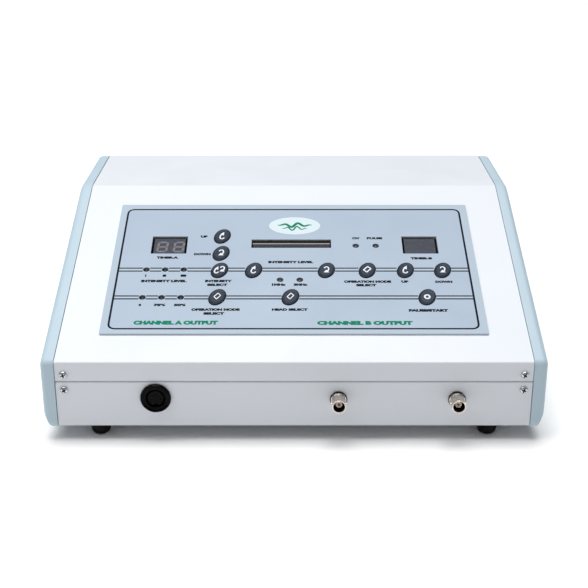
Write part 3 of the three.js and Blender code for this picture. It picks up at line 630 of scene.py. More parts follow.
def plated(colour, tarnish, gloss, brush, line_height):
    """Plated or bare metal: lathe and die lines drawn out one way, tarnish in clouds, and fine
    scratches that break the gloss. brush stretches the lines along each axis."""
    material = bpy.data.materials.new("finish")
    material.use_nodes = True
    nodes = material.node_tree.nodes
    links = material.node_tree.links
    nodes.clear()

    place = nodes.new("ShaderNodeTexCoord")
    place.label = "Place on the console"
    drawn = nodes.new("ShaderNodeMapping")
    drawn.label = "Drawn out along the working direction"
    tool_lines = nodes.new("ShaderNodeTexNoise")
    tool_lines.label = "Tool lines"
    clouds = nodes.new("ShaderNodeTexNoise")
    clouds.label = "Clouds of tarnish"
    tarnish_mask = nodes.new("ShaderNodeMapRange")
    tarnish_mask.label = "Tarnish only in patches"
    tinted = nodes.new("ShaderNodeMix")
    tinted.label = "Metal under its tarnish"
    scratches = nodes.new("ShaderNodeTexVoronoi")
    scratches.label = "Fine scratches"
    scratch_mask = nodes.new("ShaderNodeMapRange")
    scratch_mask.label = "Thin scratch lines"
    gloss_range = nodes.new("ShaderNodeMapRange")
    gloss_range.label = "Roughness along the tool lines"
    gloss_sum = nodes.new("ShaderNodeMath")
    gloss_sum.label = "Scratches dull the plating"
    relief = nodes.new("ShaderNodeBump")
    relief.label = "Relief of the tool lines"
    shader = nodes.new("ShaderNodeBsdfPrincipled")
    shader.label = "Metal"
    output = nodes.new("ShaderNodeOutputMaterial")
    output.label = "To the piece"
    colour_frame = nodes.new("NodeFrame")
    colour_frame.label = "Tarnish"
    gloss_frame = nodes.new("NodeFrame")
    gloss_frame.label = "Gloss and scratches"
    relief_frame = nodes.new("NodeFrame")
    relief_frame.label = "Tool marks"
    arrange(
        [
            [place],
            [drawn, clouds, scratches],
            [tool_lines, tarnish_mask, scratch_mask],
            [gloss_range, tinted, relief],
            [gloss_sum],
            [shader],
            [output],
        ],
        {
            colour_frame: [clouds, tarnish_mask, tinted],
            gloss_frame: [scratches, scratch_mask, gloss_range, gloss_sum],
            relief_frame: [drawn, tool_lines, relief],
        },
    )

    drawn.inputs["Scale"].default_value = brush
    tool_lines.inputs["Scale"].default_value = 1.0
    tool_lines.inputs["Detail"].default_value = 3
    clouds.inputs["Scale"].default_value = 260
    clouds.inputs["Detail"].default_value = 5
    tarnish_mask.inputs["From Min"].default_value = 0.42
    tarnish_mask.inputs["From Max"].default_value = 0.75
    tarnish_mask.inputs["To Max"].default_value = 0.35
    tinted.data_type = "RGBA"
    tinted.inputs[6].default_value = opaque(colour)
    tinted.inputs[7].default_value = opaque(tarnish)
    scratches.feature = "DISTANCE_TO_EDGE"
    scratches.inputs["Scale"].default_value = 420
    scratch_mask.inputs["From Min"].default_value = 0.03
    scratch_mask.inputs["From Max"].default_value = 0.0
    scratch_mask.inputs["To Max"].default_value = 0.18
    gloss_range.inputs["To Min"].default_value = gloss[0]
    gloss_range.inputs["To Max"].default_value = gloss[1]
    gloss_sum.operation = "ADD"
    gloss_sum.use_clamp = True
    relief.inputs["Distance"].default_value = line_height * MM
    shader.inputs["Metallic"].default_value = 1.0

    links.new(place.outputs["Object"], drawn.inputs["Vector"])
    links.new(drawn.outputs["Vector"], tool_lines.inputs["Vector"])
    links.new(place.outputs["Object"], clouds.inputs["Vector"])
    links.new(place.outputs["Object"], scratches.inputs["Vector"])
    links.new(clouds.outputs["Fac"], tarnish_mask.inputs["Value"])
    links.new(tarnish_mask.outputs["Result"], tinted.inputs["Factor"])
    links.new(scratches.outputs["Distance"], scratch_mask.inputs["Value"])
    links.new(tool_lines.outputs["Fac"], gloss_range.inputs["Value"])
    links.new(gloss_range.outputs["Result"], gloss_sum.inputs[0])
    links.new(scratch_mask.outputs["Result"], gloss_sum.inputs[1])
    links.new(tool_lines.outputs["Fac"], relief.inputs["Height"])
    links.new(tinted.outputs[2], shader.inputs["Base Color"])
    links.new(gloss_sum.outputs["Value"], shader.inputs["Roughness"])
    links.new(relief.outputs["Normal"], shader.inputs["Normal"])
    links.new(shader.outputs["BSDF"], output.inputs["Surface"])
    return material


def embossed(face, rim, gloss):
    """A key of embossed film: its tone attribute runs from the foot (0) over the rim to the middle (1); the
    colour darkens the rim as painted shade and brightens the middle as a painted highlight; rubbed towards
    the middle by fingers, with the film's fine texture."""
    material = bpy.data.materials.new("finish")
    material.use_nodes = True
    nodes = material.node_tree.nodes
    links = material.node_tree.links
    nodes.clear()

    place = nodes.new("ShaderNodeTexCoord")
    place.label = "Place on the console"
    inward = nodes.new("ShaderNodeAttribute")
    inward.label = "How far in from the rim"
    unevenness = nodes.new("ShaderNodeTexNoise")
    unevenness.label = "Uneven print"
    wobble = nodes.new("ShaderNodeMath")
    wobble.label = "Rim edge wanders a little"
    band = nodes.new("ShaderNodeValToRGB")
    band.label = "Dark rim to slate face"
    rubbed = nodes.new("ShaderNodeTexNoise")
    rubbed.label = "Finger marks"
    polish = nodes.new("ShaderNodeMapRange")
    polish.label = "Roughness under fingers"
    pebble = nodes.new("ShaderNodeTexVoronoi")
    pebble.label = "Velvet texture of the film"
    relief = nodes.new("ShaderNodeBump")
    relief.label = "Texture in relief"
    shader = nodes.new("ShaderNodeBsdfPrincipled")
    shader.label = "Key film"
    output = nodes.new("ShaderNodeOutputMaterial")
    output.label = "To the key"
    colour_frame = nodes.new("NodeFrame")
    colour_frame.label = "Rim and face colour"
    gloss_frame = nodes.new("NodeFrame")
    gloss_frame.label = "Finger marks"
    relief_frame = nodes.new("NodeFrame")
    relief_frame.label = "Film texture"
    arrange(
        [[place, inward], [unevenness, rubbed, pebble], [wobble, polish, relief], [band], [shader], [output]],
        {
            colour_frame: [inward, unevenness, wobble, band],
            gloss_frame: [rubbed, polish],
            relief_frame: [pebble, relief],
        },
    )

    inward.attribute_name = "tone"
    unevenness.inputs["Scale"].default_value = 900
    unevenness.inputs["Detail"].default_value = 3
    wobble.operation = "MULTIPLY_ADD"
    wobble.inputs[1].default_value = 0.08
    # The ramp paints shade and light: the rim is darkened as painted shade, the middle brightened as a
    # painted highlight.
    ramp = band.color_ramp
    ramp.elements[0].position = 0.30
    ramp.elements[0].color = opaque(rim)
    ramp.elements[1].position = 0.52
    ramp.elements[1].color = opaque(face)
    # Painted highlight: the middle of the key is 12% brighter than its face.
    centre = ramp.elements.new(1.0)
    centre.color = opaque(toned(face, 1.12))
    rubbed.inputs["Scale"].default_value = 420
    rubbed.inputs["Distortion"].default_value = 0.8
    polish.inputs["To Min"].default_value = gloss[0]
    polish.inputs["To Max"].default_value = gloss[1]
    pebble.inputs["Scale"].default_value = 4200
    relief.inputs["Distance"].default_value = 0.004 * MM
    shader.inputs["Specular IOR Level"].default_value = 0.12

    links.new(place.outputs["Object"], unevenness.inputs["Vector"])
    links.new(unevenness.outputs["Fac"], wobble.inputs[0])
    links.new(inward.outputs["Fac"], wobble.inputs[2])
    links.new(wobble.outputs["Value"], band.inputs["Fac"])
    links.new(place.outputs["Object"], rubbed.inputs["Vector"])
    links.new(rubbed.outputs["Fac"], polish.inputs["Value"])
    links.new(place.outputs["Object"], pebble.inputs["Vector"])
    links.new(pebble.outputs["Distance"], relief.inputs["Height"])
    links.new(band.outputs["Color"], shader.inputs["Base Color"])
    links.new(polish.outputs["Result"], shader.inputs["Roughness"])
    links.new(relief.outputs["Normal"], shader.inputs["Normal"])
    links.new(shader.outputs["BSDF"], output.inputs["Surface"])
    return material


def glassy(colour, deep, gloss, see_through=0.0):
    """Lamp lens, smoked window or glass tube: a tint that deepens in soft clouds, faint moulding
    flow lines in the surface, and dust that dulls it in places."""
    material = bpy.data.materials.new("finish")
    material.use_nodes = True
    nodes = material.node_tree.nodes
    links = material.node_tree.links
    nodes.clear()

    place = nodes.new("ShaderNodeTexCoord")
    place.label = "Place on the console"
    depth = nodes.new("ShaderNodeTexNoise")
    depth.label = "Cloudy depth of the tint"
    tint = nodes.new("ShaderNodeMix")
    tint.label = "From tint to deep tint"
    flow = nodes.new("ShaderNodeTexWave")
    flow.label = "Moulding flow lines"
    ripple = nodes.new("ShaderNodeBump")
    ripple.label = "Faint ripple"
    dust = nodes.new("ShaderNodeTexNoise")
    dust.label = "Dust"
    dulled = nodes.new("ShaderNodeMapRange")
    dulled.label = "Roughness with dust"
    shader = nodes.new("ShaderNodeBsdfPrincipled")
    shader.label = "Clear plastic or glass"
    output = nodes.new("ShaderNodeOutputMaterial")
    output.label = "To the piece"
    colour_frame = nodes.new("NodeFrame")
    colour_frame.label = "Tint"
    surface_frame = nodes.new("NodeFrame")
    surface_frame.label = "Surface"
    arrange(
        [[place], [depth, flow, dust], [tint, ripple, dulled], [shader], [output]],
        {colour_frame: [depth, tint], surface_frame: [flow, ripple, dust, dulled]},
    )

    depth.inputs["Scale"].default_value = 380
    tint.data_type = "RGBA"
    tint.inputs[6].default_value = opaque(colour)
    tint.inputs[7].default_value = opaque(deep)
    flow.inputs["Scale"].default_value = 160
    flow.inputs["Distortion"].default_value = 3
    ripple.inputs["Distance"].default_value = 0.004 * MM
    dust.inputs["Scale"].default_value = 1500
    dust.inputs["Detail"].default_value = 4
    dulled.inputs["From Min"].default_value = 0.45
    dulled.inputs["From Max"].default_value = 0.8
    dulled.inputs["To Min"].default_value = gloss[0]
    dulled.inputs["To Max"].default_value = gloss[1]
    shader.inputs["Transmission Weight"].default_value = see_through
    shader.inputs["IOR"].default_value = 1.5
    shader.inputs["Specular IOR Level"].default_value = 0.2

    links.new(place.outputs["Object"], depth.inputs["Vector"])
    links.new(place.outputs["Object"], flow.inputs["Vector"])
    links.new(place.outputs["Object"], dust.inputs["Vector"])
    links.new(depth.outputs["Fac"], tint.inputs["Factor"])
    links.new(flow.outputs["Fac"], ripple.inputs["Height"])
    links.new(dust.outputs["Fac"], dulled.inputs["Value"])
    links.new(tint.outputs[2], shader.inputs["Base Color"])
    links.new(dulled.outputs["Result"], shader.inputs["Roughness"])
    links.new(ripple.outputs["Normal"], shader.inputs["Normal"])
    links.new(shader.outputs["BSDF"], output.inputs["Surface"])
    return material


def printed(colour, gloss, patchiness=0.12):
    """Screen-printed ink: slightly uneven cover, the mesh of the screen in fine relief."""
    material = bpy.data.materials.new("finish")
    material.use_nodes = True
    nodes = material.node_tree.nodes
    links = material.node_tree.links
    nodes.clear()

    place = nodes.new("ShaderNodeTexCoord")
    place.label = "Place on the console"
    cover = nodes.new("ShaderNodeTexNoise")
    cover.label = "Uneven ink cover"
    thin = nodes.new("ShaderNodeMapRange")
    thin.label = "How thin the ink lies"
    ink = nodes.new("ShaderNodeMix")
    ink.label = "Full ink to thin ink"
    screen = nodes.new("ShaderNodeTexVoronoi")
    screen.label = "Mesh of the printing screen"
    relief = nodes.new("ShaderNodeBump")
    relief.label = "Mesh marks in relief"
    dry = nodes.new("ShaderNodeMapRange")
    dry.label = "Drier where thin"
    shader = nodes.new("ShaderNodeBsdfPrincipled")
    shader.label = "Ink"
    output = nodes.new("ShaderNodeOutputMaterial")
    output.label = "To the print"
    colour_frame = nodes.new("NodeFrame")
    colour_frame.label = "Ink cover"
    relief_frame = nodes.new("NodeFrame")
    relief_frame.label = "Screen marks"
    arrange(
        [[place], [cover, screen], [thin, relief, dry], [ink], [shader], [output]],
        {colour_frame: [cover, thin, ink, dry], relief_frame: [screen, relief]},
    )

    cover.inputs["Scale"].default_value = 1300
    cover.inputs["Detail"].default_value = 4
    thin.inputs["From Min"].default_value = 0.4
    thin.inputs["From Max"].default_value = 0.8
    thin.inputs["To Max"].default_value = patchiness * 2
    ink.data_type = "RGBA"
    ink.inputs[6].default_value = opaque(colour)
    ink.inputs[7].default_value = opaque([value * 0.75 + 0.03 for value in colour])
    screen.inputs["Scale"].default_value = 7000
    relief.inputs["Distance"].default_value = 0.002 * MM
    shader.inputs["Specular IOR Level"].default_value = 0.05
    dry.inputs["To Min"].default_value = gloss
    dry.inputs["To Max"].default_value = gloss + 0.15

    links.new(place.outputs["Object"], cover.inputs["Vector"])
    links.new(place.outputs["Object"], screen.inputs["Vector"])
    links.new(cover.outputs["Fac"], thin.inputs["Value"])
    links.new(thin.outputs["Result"], ink.inputs["Factor"])
    links.new(cover.outputs["Fac"], dry.inputs["Value"])
    links.new(screen.outputs["Distance"], relief.inputs["Height"])
    links.new(ink.outputs[2], shader.inputs["Base Color"])
    links.new(dry.outputs["Result"], shader.inputs["Roughness"])
    links.new(relief.outputs["Normal"], shader.inputs["Normal"])
    links.new(shader.outputs["BSDF"], output.inputs["Surface"])
    return material


def banded(crest, groove, band_scale, axis, relief_height, gloss, metal):
    """Wire layers, sheet stacks, ribbon cores or board traces: even bands along one axis, with
    grooves between them in colour and relief, and each band a little different."""
    material = bpy.data.materials.new("finish")
    material.use_nodes = True
    nodes = material.node_tree.nodes
    links = material.node_tree.links
    nodes.clear()

    place = nodes.new("ShaderNodeTexCoord")
    place.label = "Place on the console"
    bands = nodes.new("ShaderNodeTexWave")
    bands.label = "Even bands"
    groove_mask = nodes.new("ShaderNodeMapRange")
    groove_mask.label = "Narrow grooves"
    variety = nodes.new("ShaderNodeTexNoise")
    variety.label = "Each band a little different"
    uneven = nodes.new("ShaderNodeMix")
    uneven.label = "Uneven crests"
    grooved = nodes.new("ShaderNodeMix")
    grooved.label = "Crests and grooves"
    relief = nodes.new("ShaderNodeBump")
    relief.label = "Grooves in relief"
    worn = nodes.new("ShaderNodeMapRange")
    worn.label = "Roughness varies"
    shader = nodes.new("ShaderNodeBsdfPrincipled")
    shader.label = "Banded surface"
    output = nodes.new("ShaderNodeOutputMaterial")
    output.label = "To the piece"
    band_frame = nodes.new("NodeFrame")
    band_frame.label = "Bands"
    colour_frame = nodes.new("NodeFrame")
    colour_frame.label = "Colour"
    surface_frame = nodes.new("NodeFrame")
    surface_frame.label = "Relief and gloss"
    arrange(
        [
            [place],
            [bands, variety],
            [uneven, worn],
            [groove_mask, relief],
            [grooved],
            [shader],
            [output],
        ],
        {
            band_frame: [bands, groove_mask],
            colour_frame: [variety, uneven, grooved],
            surface_frame: [relief, worn],
        },
    )

    bands.bands_direction = axis
    bands.inputs["Scale"].default_value = band_scale
    bands.inputs["Distortion"].default_value = 0.15
    groove_mask.inputs["From Min"].default_value = 0.05
    groove_mask.inputs["From Max"].default_value = 0.45
    variety.inputs["Scale"].default_value = 350
    variety.inputs["Detail"].default_value = 4
    uneven.data_type = "RGBA"
    uneven.inputs[6].default_value = opaque(crest)
    uneven.inputs[7].default_value = opaque(toned(crest, 0.72))
    grooved.data_type = "RGBA"
    grooved.inputs[6].default_value = opaque(groove)
    relief.inputs["Distance"].default_value = relief_height * MM
    worn.inputs["To Min"].default_value = gloss[0]
    worn.inputs["To Max"].default_value = gloss[1]
    shader.inputs["Metallic"].default_value = metal

    links.new(place.outputs["Object"], bands.inputs["Vector"])
    links.new(place.outputs["Object"], variety.inputs["Vector"])
    links.new(bands.outputs["Fac"], groove_mask.inputs["Value"])
    links.new(variety.outputs["Fac"], uneven.inputs["Factor"])
    links.new(groove_mask.outputs["Result"], grooved.inputs["Factor"])
    links.new(uneven.outputs[2], grooved.inputs[7])
    links.new(groove_mask.outputs["Result"], relief.inputs["Height"])
    links.new(variety.outputs["Fac"], worn.inputs["Value"])
    links.new(grooved.outputs[2], shader.inputs["Base Color"])
    links.new(worn.outputs["Result"], shader.inputs["Roughness"])
    links.new(relief.outputs["Normal"], shader.inputs["Normal"])
    links.new(shader.outputs["BSDF"], output.inputs["Surface"])
    return material


def tracked(mask, track, pad):
    """A circuit board: solder mask over copper tracks that run square across it, with bare pads."""
    material = bpy.data.materials.new("finish")
    material.use_nodes = True
    nodes = material.node_tree.nodes
    links = material.node_tree.links
    nodes.clear()

    place = nodes.new("ShaderNodeTexCoord")
    place.label = "Place on the console"
    tracks = nodes.new("ShaderNodeTexBrick")
    tracks.label = "Square runs of track"
    pads = nodes.new("ShaderNodeTexVoronoi")
    pads.label = "Pads"
    pad_mask = nodes.new("ShaderNodeMapRange")
    pad_mask.label = "Round pads only"
    copper = nodes.new("ShaderNodeMix")
    copper.label = "Pads over mask and tracks"
    flux = nodes.new("ShaderNodeTexNoise")
    flux.label = "Flux haze"
    haze = nodes.new("ShaderNodeMapRange")
    haze.label = "Roughness under the haze"
    relief = nodes.new("ShaderNodeBump")
    relief.label = "Tracks in relief"
    shader = nodes.new("ShaderNodeBsdfPrincipled")
    shader.label = "Board"
    output = nodes.new("ShaderNodeOutputMaterial")
    output.label = "To the board"
    colour_frame = nodes.new("NodeFrame")
    colour_frame.label = "Mask, tracks and pads"
    surface_frame = nodes.new("NodeFrame")
    surface_frame.label = "Surface"
    arrange(
        [[place], [tracks, pads, flux], [pad_mask, relief, haze], [copper], [shader], [output]],
        {colour_frame: [tracks, pads, pad_mask, copper], surface_frame: [flux, haze, relief]},
    )

    tracks.inputs["Scale"].default_value = 95
    tracks.inputs["Color1"].default_value = opaque(mask)
    tracks.inputs["Color2"].default_value = opaque(toned(mask, 0.8))
    tracks.inputs["Mortar"].default_value = opaque(track)
    tracks.inputs["Mortar Size"].default_value = 0.04
    tracks.inputs["Brick Width"].default_value = 0.9
    pads.inputs["Scale"].default_value = 190
    pads.inputs["Randomness"].default_value = 0.35
    pad_mask.inputs["From Min"].default_value = 0.20
    pad_mask.inputs["From Max"].default_value = 0.17
    copper.data_type = "RGBA"
    copper.inputs[7].default_value = opaque(pad)
    flux.inputs["Scale"].default_value = 120
    haze.inputs["To Min"].default_value = 0.25
    haze.inputs["To Max"].default_value = 0.6
    relief.inputs["Distance"].default_value = 0.03 * MM

    links.new(place.outputs["Object"], tracks.inputs["Vector"])
    links.new(place.outputs["Object"], pads.inputs["Vector"])
    links.new(place.outputs["Object"], flux.inputs["Vector"])
    links.new(pads.outputs["Distance"], pad_mask.inputs["Value"])
    links.new(pad_mask.outputs["Result"], copper.inputs["Factor"])
    links.new(tracks.outputs["Color"], copper.inputs[6])
    links.new(tracks.outputs["Fac"], relief.inputs["Height"])
    links.new(flux.outputs["Fac"], haze.inputs["Value"])
    links.new(copper.outputs[2], shader.inputs["Base Color"])
    links.new(haze.outputs["Result"], shader.inputs["Roughness"])
    links.new(relief.outputs["Normal"], shader.inputs["Normal"])
    links.new(shader.outputs["BSDF"], output.inputs["Surface"])
    return material


def toned(colour, share):
    """A colour darkened or brightened by a share, up to white."""
    return [min(1.0, value * share) for value in colour]


def plastic(colour, gloss=(0.3, 0.45), mirror=0.5):
    """Dark or plain moulded plastic with a spark-eroded grain."""
    pale = [min(1.0, value * 1.3 + 0.02) for value in colour]
    return moulded(
        colour,
        toned(colour, 0.85),
        drift_scale=30,
        grain_scale=1600,
        grain_height=0.010,
        fine_height=0.004,
        gloss=gloss,
        specks=0.35,
        speck_colour=pale,
        mirror=mirror,
    )


DEEP = 0.45  # share of a colour's brightness that is left in its tarnish or its depth


FINISHES = {
    "powder_coat": lambda c: moulded(
        c.case,
        c.case_shade,
        drift_scale=7,
        grain_scale=620,
        grain_height=0.016,
        fine_height=0.003,
        gloss=(0.38, 0.52),
        specks=0.10,
        speck_colour=linear(150, 158, 168),
    ),
    "cheek_plastic": lambda c: moulded(
        c.cheek,
        c.cheek_shade,
        drift_scale=9,
        grain_scale=1900,
        grain_height=0.014,
        fine_height=0.005,
        gloss=(0.42, 0.58),
        specks=0.12,
        speck_colour=linear(120, 146, 164),
    ),
    "printed_film": lambda c: moulded(
        c.film,
        c.film_shade,
        drift_scale=11,
        grain_scale=3800,
        grain_height=0.005,
        fine_height=0.002,
        gloss=(0.36, 0.5),
        specks=0.08,
        speck_colour=linear(220, 228, 238),
    ),
    "rubber": lambda c: moulded(
        c.rubber,
        toned(c.rubber, 0.7),
        drift_scale=60,
        grain_scale=1200,
        grain_height=0.03,
        fine_height=0.01,
        gloss=(0.6, 0.85),
        specks=0.5,
        speck_colour=linear(60, 58, 58),
        mirror=0.2,
    ),
    "floor": lambda c: moulded(
        c.floor,
        c.floor,
        drift_scale=2,
        grain_scale=60,
        grain_height=0.02,
        fine_height=0.01,
        gloss=(0.85, 0.95),
        specks=0.0,
        speck_colour=c.floor,
    ),
    # Painted light: the pale colour of the ring under the film's edge, which stands in shade.
    "film_edge_light": lambda c: plastic(linear(236, 241, 246), mirror=0.2),
    "switch_film": lambda c: plastic(linear(176, 168, 120)),
    "black_plastic": lambda c: plastic(c.black, gloss=(0.07, 0.16), mirror=0.05),
    "grey_plastic": lambda c: plastic(linear(88, 94, 104)),
    # Painted shade: the dark cross plate set in each screw's recess.
    "recess_shade": lambda c: plastic(linear(34, 36, 40), gloss=(0.5, 0.8), mirror=0.2),
    # Painted shade: the dark sheet inside the coaxial barrels and the dark fill round their pins.
    "bore_shade": lambda c: plastic(linear(30, 16, 13), gloss=(0.3, 0.5), mirror=0.2),
    "insulator": lambda c: plastic(c.insulator, gloss=(0.3, 0.5)),
    "ferrite": lambda c: plastic(linear(44, 45, 50), gloss=(0.5, 0.75)),
    "capacitor_sleeve": lambda c: plastic(linear(30, 40, 74), gloss=(0.2, 0.35)),
    "ink": lambda c: printed(c.ink, gloss=0.4),
    "line": lambda c: printed(c.line, gloss=0.4),
    "pale_band": lambda c: printed(c.pale_band, gloss=0.4),
    "accent": lambda c: printed(c.accent, gloss=0.35, patchiness=0.08),
    "badge": lambda c: printed(c.badge, gloss=0.25, patchiness=0.05),
    "icon": lambda c: printed(c.icon, gloss=0.35, patchiness=0.06),
    "white_mark": lambda c: printed(linear(226, 226, 222), gloss=0.4),
    "key": lambda c: embossed(c.key, c.key_rim_shade, gloss=(0.28, 0.45)),
    "start_key": lambda c: embossed(c.start_key, c.key_rim_shade, gloss=(0.28, 0.45)),
    "display": lambda c: glassy(c.display, toned(c.display, DEEP), gloss=(0.08, 0.25)),
    "display_plain": lambda c: glassy(toned(c.display, 0.85), toned(c.display, DEEP), gloss=(0.1, 0.3)),
    # Painted highlight: the pale stripe along the level meter.
    "highlight_strip": lambda c: glassy(linear(142, 138, 146), linear(120, 118, 126), gloss=(0.3, 0.5)),
    "digit": lambda c: glassy(c.digit, toned(c.digit, 0.85), gloss=(0.3, 0.45)),
    "lens_dark": lambda c: glassy(c.lens_dark, toned(c.lens_dark, DEEP), gloss=(0.2, 0.4)),
    "lens_clear": lambda c: glassy(c.lens_clear, c.lens_dark, gloss=(0.15, 0.35)),
    "fuse_glass": lambda c: glassy(
        linear(214, 224, 228), linear(190, 204, 210), gloss=(0.02, 0.15), see_through=0.9
    ),
    "nickel": lambda c: plated(
        c.nickel, toned(c.nickel, DEEP), gloss=(0.14, 0.34), brush=(300, 4200, 300), line_height=0.012
    ),
    "dark_nickel": lambda c: plated(
        linear(44, 40, 39), linear(18, 15, 14), gloss=(0.25, 0.5), brush=(300, 3600, 300), line_height=0.012
    ),
    "zinc_screw": lambda c: plated(
        c.zinc, linear(120, 124, 130), gloss=(0.16, 0.36), brush=(900, 2600, 900), line_height=0.01
    ),
    "brass": lambda c: plated(
        c.brass, toned(c.brass, DEEP), gloss=(0.2, 0.4), brush=(900, 900, 900), line_height=0.006
    ),
    "heatsink_aluminium": lambda c: plated(
        linear(178, 184, 190),
        linear(120, 124, 130),
        gloss=(0.3, 0.5),
        brush=(90, 2200, 2200),
        line_height=0.01,
    ),
    "circuit_board": lambda c: tracked(c.board, toned(c.board, 1.9), linear(198, 178, 128)),
    "core_steel": lambda c: banded(
        linear(98, 101, 108), linear(34, 35, 38), 620, "Y", 0.08, gloss=(0.35, 0.6), metal=0.8
    ),
    "copper_winding": lambda c: banded(
        c.copper, linear(62, 28, 12), 520, "Z", 0.2, gloss=(0.25, 0.5), metal=0.7
    ),
    "grey_ribbon": lambda c: banded(
        linear(160, 163, 169), linear(104, 107, 113), 250, "X", 0.25, gloss=(0.4, 0.6), metal=0.0
    ),
}


def finish(name):
    """The named finish, made the first time that it is asked for."""
    made = bpy.data.materials.get("console_" + name)
    if made is None:
        made = FINISHES[name](colours())
        made.name = "console_" + name
    return made


# ---------------------------------------------------------------- the panel's layout, in mm

KEY_HALF_WIDTH = 6.3  # of the oval before it leans
KEY_HALF_HEIGHT = 8.8
KEY_LEAN = 1.4  # how far the top of the oval leans to the right
KEY_FOOT = 1.0  # where a key's flat foot lies above the steel
KEY_SIGNS = {
    "key_timer_a_up": "up",
    "key_timer_a_down": "down",
    "key_intensity_select": "both",
    "key_level_down": "up",
    "key_level_up": "down",
    "key_mode_b": "bold_diamond",
    "key_timer_b_up": "up",
    "key_timer_b_down": "down",
    "key_mode_a": "diamond",
    "key_head_select": "diamond",
    "key_start_pause": "ring",
}
LAMP_ROWS = {  # how many lamps, and their lens
    "intensity_lamps": (3, "lens_dark"),
    "mode_lamps": (3, "lens_dark"),
    "head_lamps": (2, "lens_clear"),
    "wave_lamps": (2, "lens_clear"),
}
LAMP_BAR_END = 3.5  # from the last lamp's centre to the end of its spacer bar
LAMP_BAR_HEIGHT = 5.7
LAMP_RADIUS = 2.3
LAMP_HOLE = 2.6

FILM_SIZE = (274.6, 151.9)
FILM_CENTRE = (0.0, 103.65)
BORDER = (-0.3, 103.1, 262.6, 140.3)  # centre across, centre up, width, height
ROW_LINES = ((100.0, 96.6), (68.2, 65.0))  # upper and lower line of each pair
LABELS = [
    ("TIMER-A", -95.9, 112.6, 16.5, 2.7),
    ("UP", -69.5, 138.4, 5.4, 2.7),
    ("DOWN", -69.7, 116.7, 12.6, 2.7),
    ("I", -110.4, 91.3, 0.9, 2.6),
    ("II", -96.4, 91.3, 2.6, 2.6),
    ("III", -82.3, 91.3, 4.2, 2.6),
    ("INTENSITY LEVEL", -96.3, 85.1, 33.6, 2.9),
    ("INTENSITY", -55.8, 85.1, 20, 2.8),
    ("SELECT", -56.5, 80.8, 15, 2.8),
    ("INTENSITY LEVEL", -2.4, 107.2, 34, 2.8),
    ("0", -111.4, 58.3, 1.9, 2.7),
    ("75%", -97.2, 58.3, 8.6, 2.7),
    ("50%", -82.5, 58.3, 8.6, 2.7),
    ("OPERATION MODE", -56.5, 53.3, 34.9, 2.8),
    ("SELECT", -57.5, 49.1, 15, 2.8),
    ("HEAD SELECT", -3, 53.3, 25.9, 2.7),
    ("1MHz", -11.2, 81, 10.3, 2.7),
    ("3MHz", 4.9, 81, 10.3, 2.7),
    ("CW", 47.8, 136.3, 6.0, 2.6),
    ("PULSE", 62.2, 136.3, 12, 2.6),
    ("TIMER-B", 96.5, 111.7, 16.5, 2.7),
    ("OPERATION MODE", 54.4, 84.4, 34.9, 2.8),
    ("SELECT", 53.3, 80.4, 15, 2.8),
    ("UP", 82.1, 84.4, 5.4, 2.7),
    ("DOWN", 110.8, 84.2, 12.6, 2.7),
    ("PAUSE/START", 96.7, 52.4, 28.3, 2.9),
]
LETTER_WEIGHT = 0.085  # how far the plain font's outlines are swollen, as a share of its height
TITLES = [("CHANNEL A OUTPUT", -84.1, 39.3, 60, 4.3), ("CHANNEL B OUTPUT", 50.4, 39.0, 68, 4.3)]
BADGE = (0.5, 152.1, 20.0, 11.0)  # centre across, centre up, half width, half height
BADGE_WAVES = [(0.8, 13.5, 2.4), (-3.4, 10.0, 1.3)]  # height, reach to either side, thickness
SUNK = 0.06  # how far a key's sign reaches into its surface
HIGHLIGHT_STRIP_SIZE = (59.6, 1.6)  # the meter's pale stripe, a painted highlight
BAR_COUNT = 20  # lens segments in the meter
BARS_LENGTH = 59.0
FINE_EDGE = 0.12  # rounding of the film and of small mouldings
SHORTEST_RUN = 0.5  # a stretch of row line shorter than this is left out
DIGIT_WIDTH = 0.62  # a digit's width as a share of its height
DIGIT_GAP = 0.25
DIGIT_LEAN = math.radians(4)
DIGIT_SHIFT, DIGIT_DROP = 1.0, -1.1  # a digit's middle from the middle of its half of the window


def key_outline():
    """A leaning oval: (a cos t + lean sin t, b sin t)."""
    cosine, sine = circle(1.0, 72).T
    return np.column_stack([KEY_HALF_WIDTH * cosine + KEY_LEAN * sine, KEY_HALF_HEIGHT * sine])


# A key's section: share of the outline, height, and tone from the foot to the middle; the tone carries the
# painted shade on the rim and the painted highlight in the middle.
KEY_SECTION = np.array(
    [
        [1.00, 1.00, 0.00],
        [1.00, 1.50, 0.10],
        [0.985, 1.78, 0.18],
        [0.95, 1.94, 0.24],
        [0.91, 2.00, 0.30],
        [0.87, 1.97, 0.36],
        [0.82, 1.86, 0.44],
        [0.76, 1.77, 0.52],
        [0.65, 1.76, 0.62],
        [0.50, 1.80, 0.74],
        [0.30, 1.83, 0.88],
        [0.12, 1.84, 0.96],
        [0.00, 1.84, 1.00],
    ]
)


def key_height(flat):
    """Height of a key's surface over points (x, y) from its middle: the section at the share
    sqrt(((x - lean y / b) / a)^2 + (y / b)^2) of its outline."""
    x, y = flat[:, 0], flat[:, 1]
    rise = y / KEY_HALF_HEIGHT
    share = np.hypot((x - KEY_LEAN * rise) / KEY_HALF_WIDTH, rise)
    return np.interp(share, KEY_SECTION[::-1, 0], KEY_SECTION[::-1, 1])


def key_cap():
    """The key's surface: outline times share, carried up its section, with a flat foot."""
    outline = key_outline()
    foot = [[0.0, KEY_FOOT, 0.0]]
    section = np.vstack([foot, KEY_SECTION])
    flat = section[:, None, :1] * outline[None]
    height = np.broadcast_to(section[:, None, 1:2], (*flat.shape[:2], 1))
    faces = grid_faces(len(section), len(outline), columns_close=True)
    return form(np.concatenate([flat, height], axis=2), faces, 0, np.repeat(section[:, 2], len(outline)))


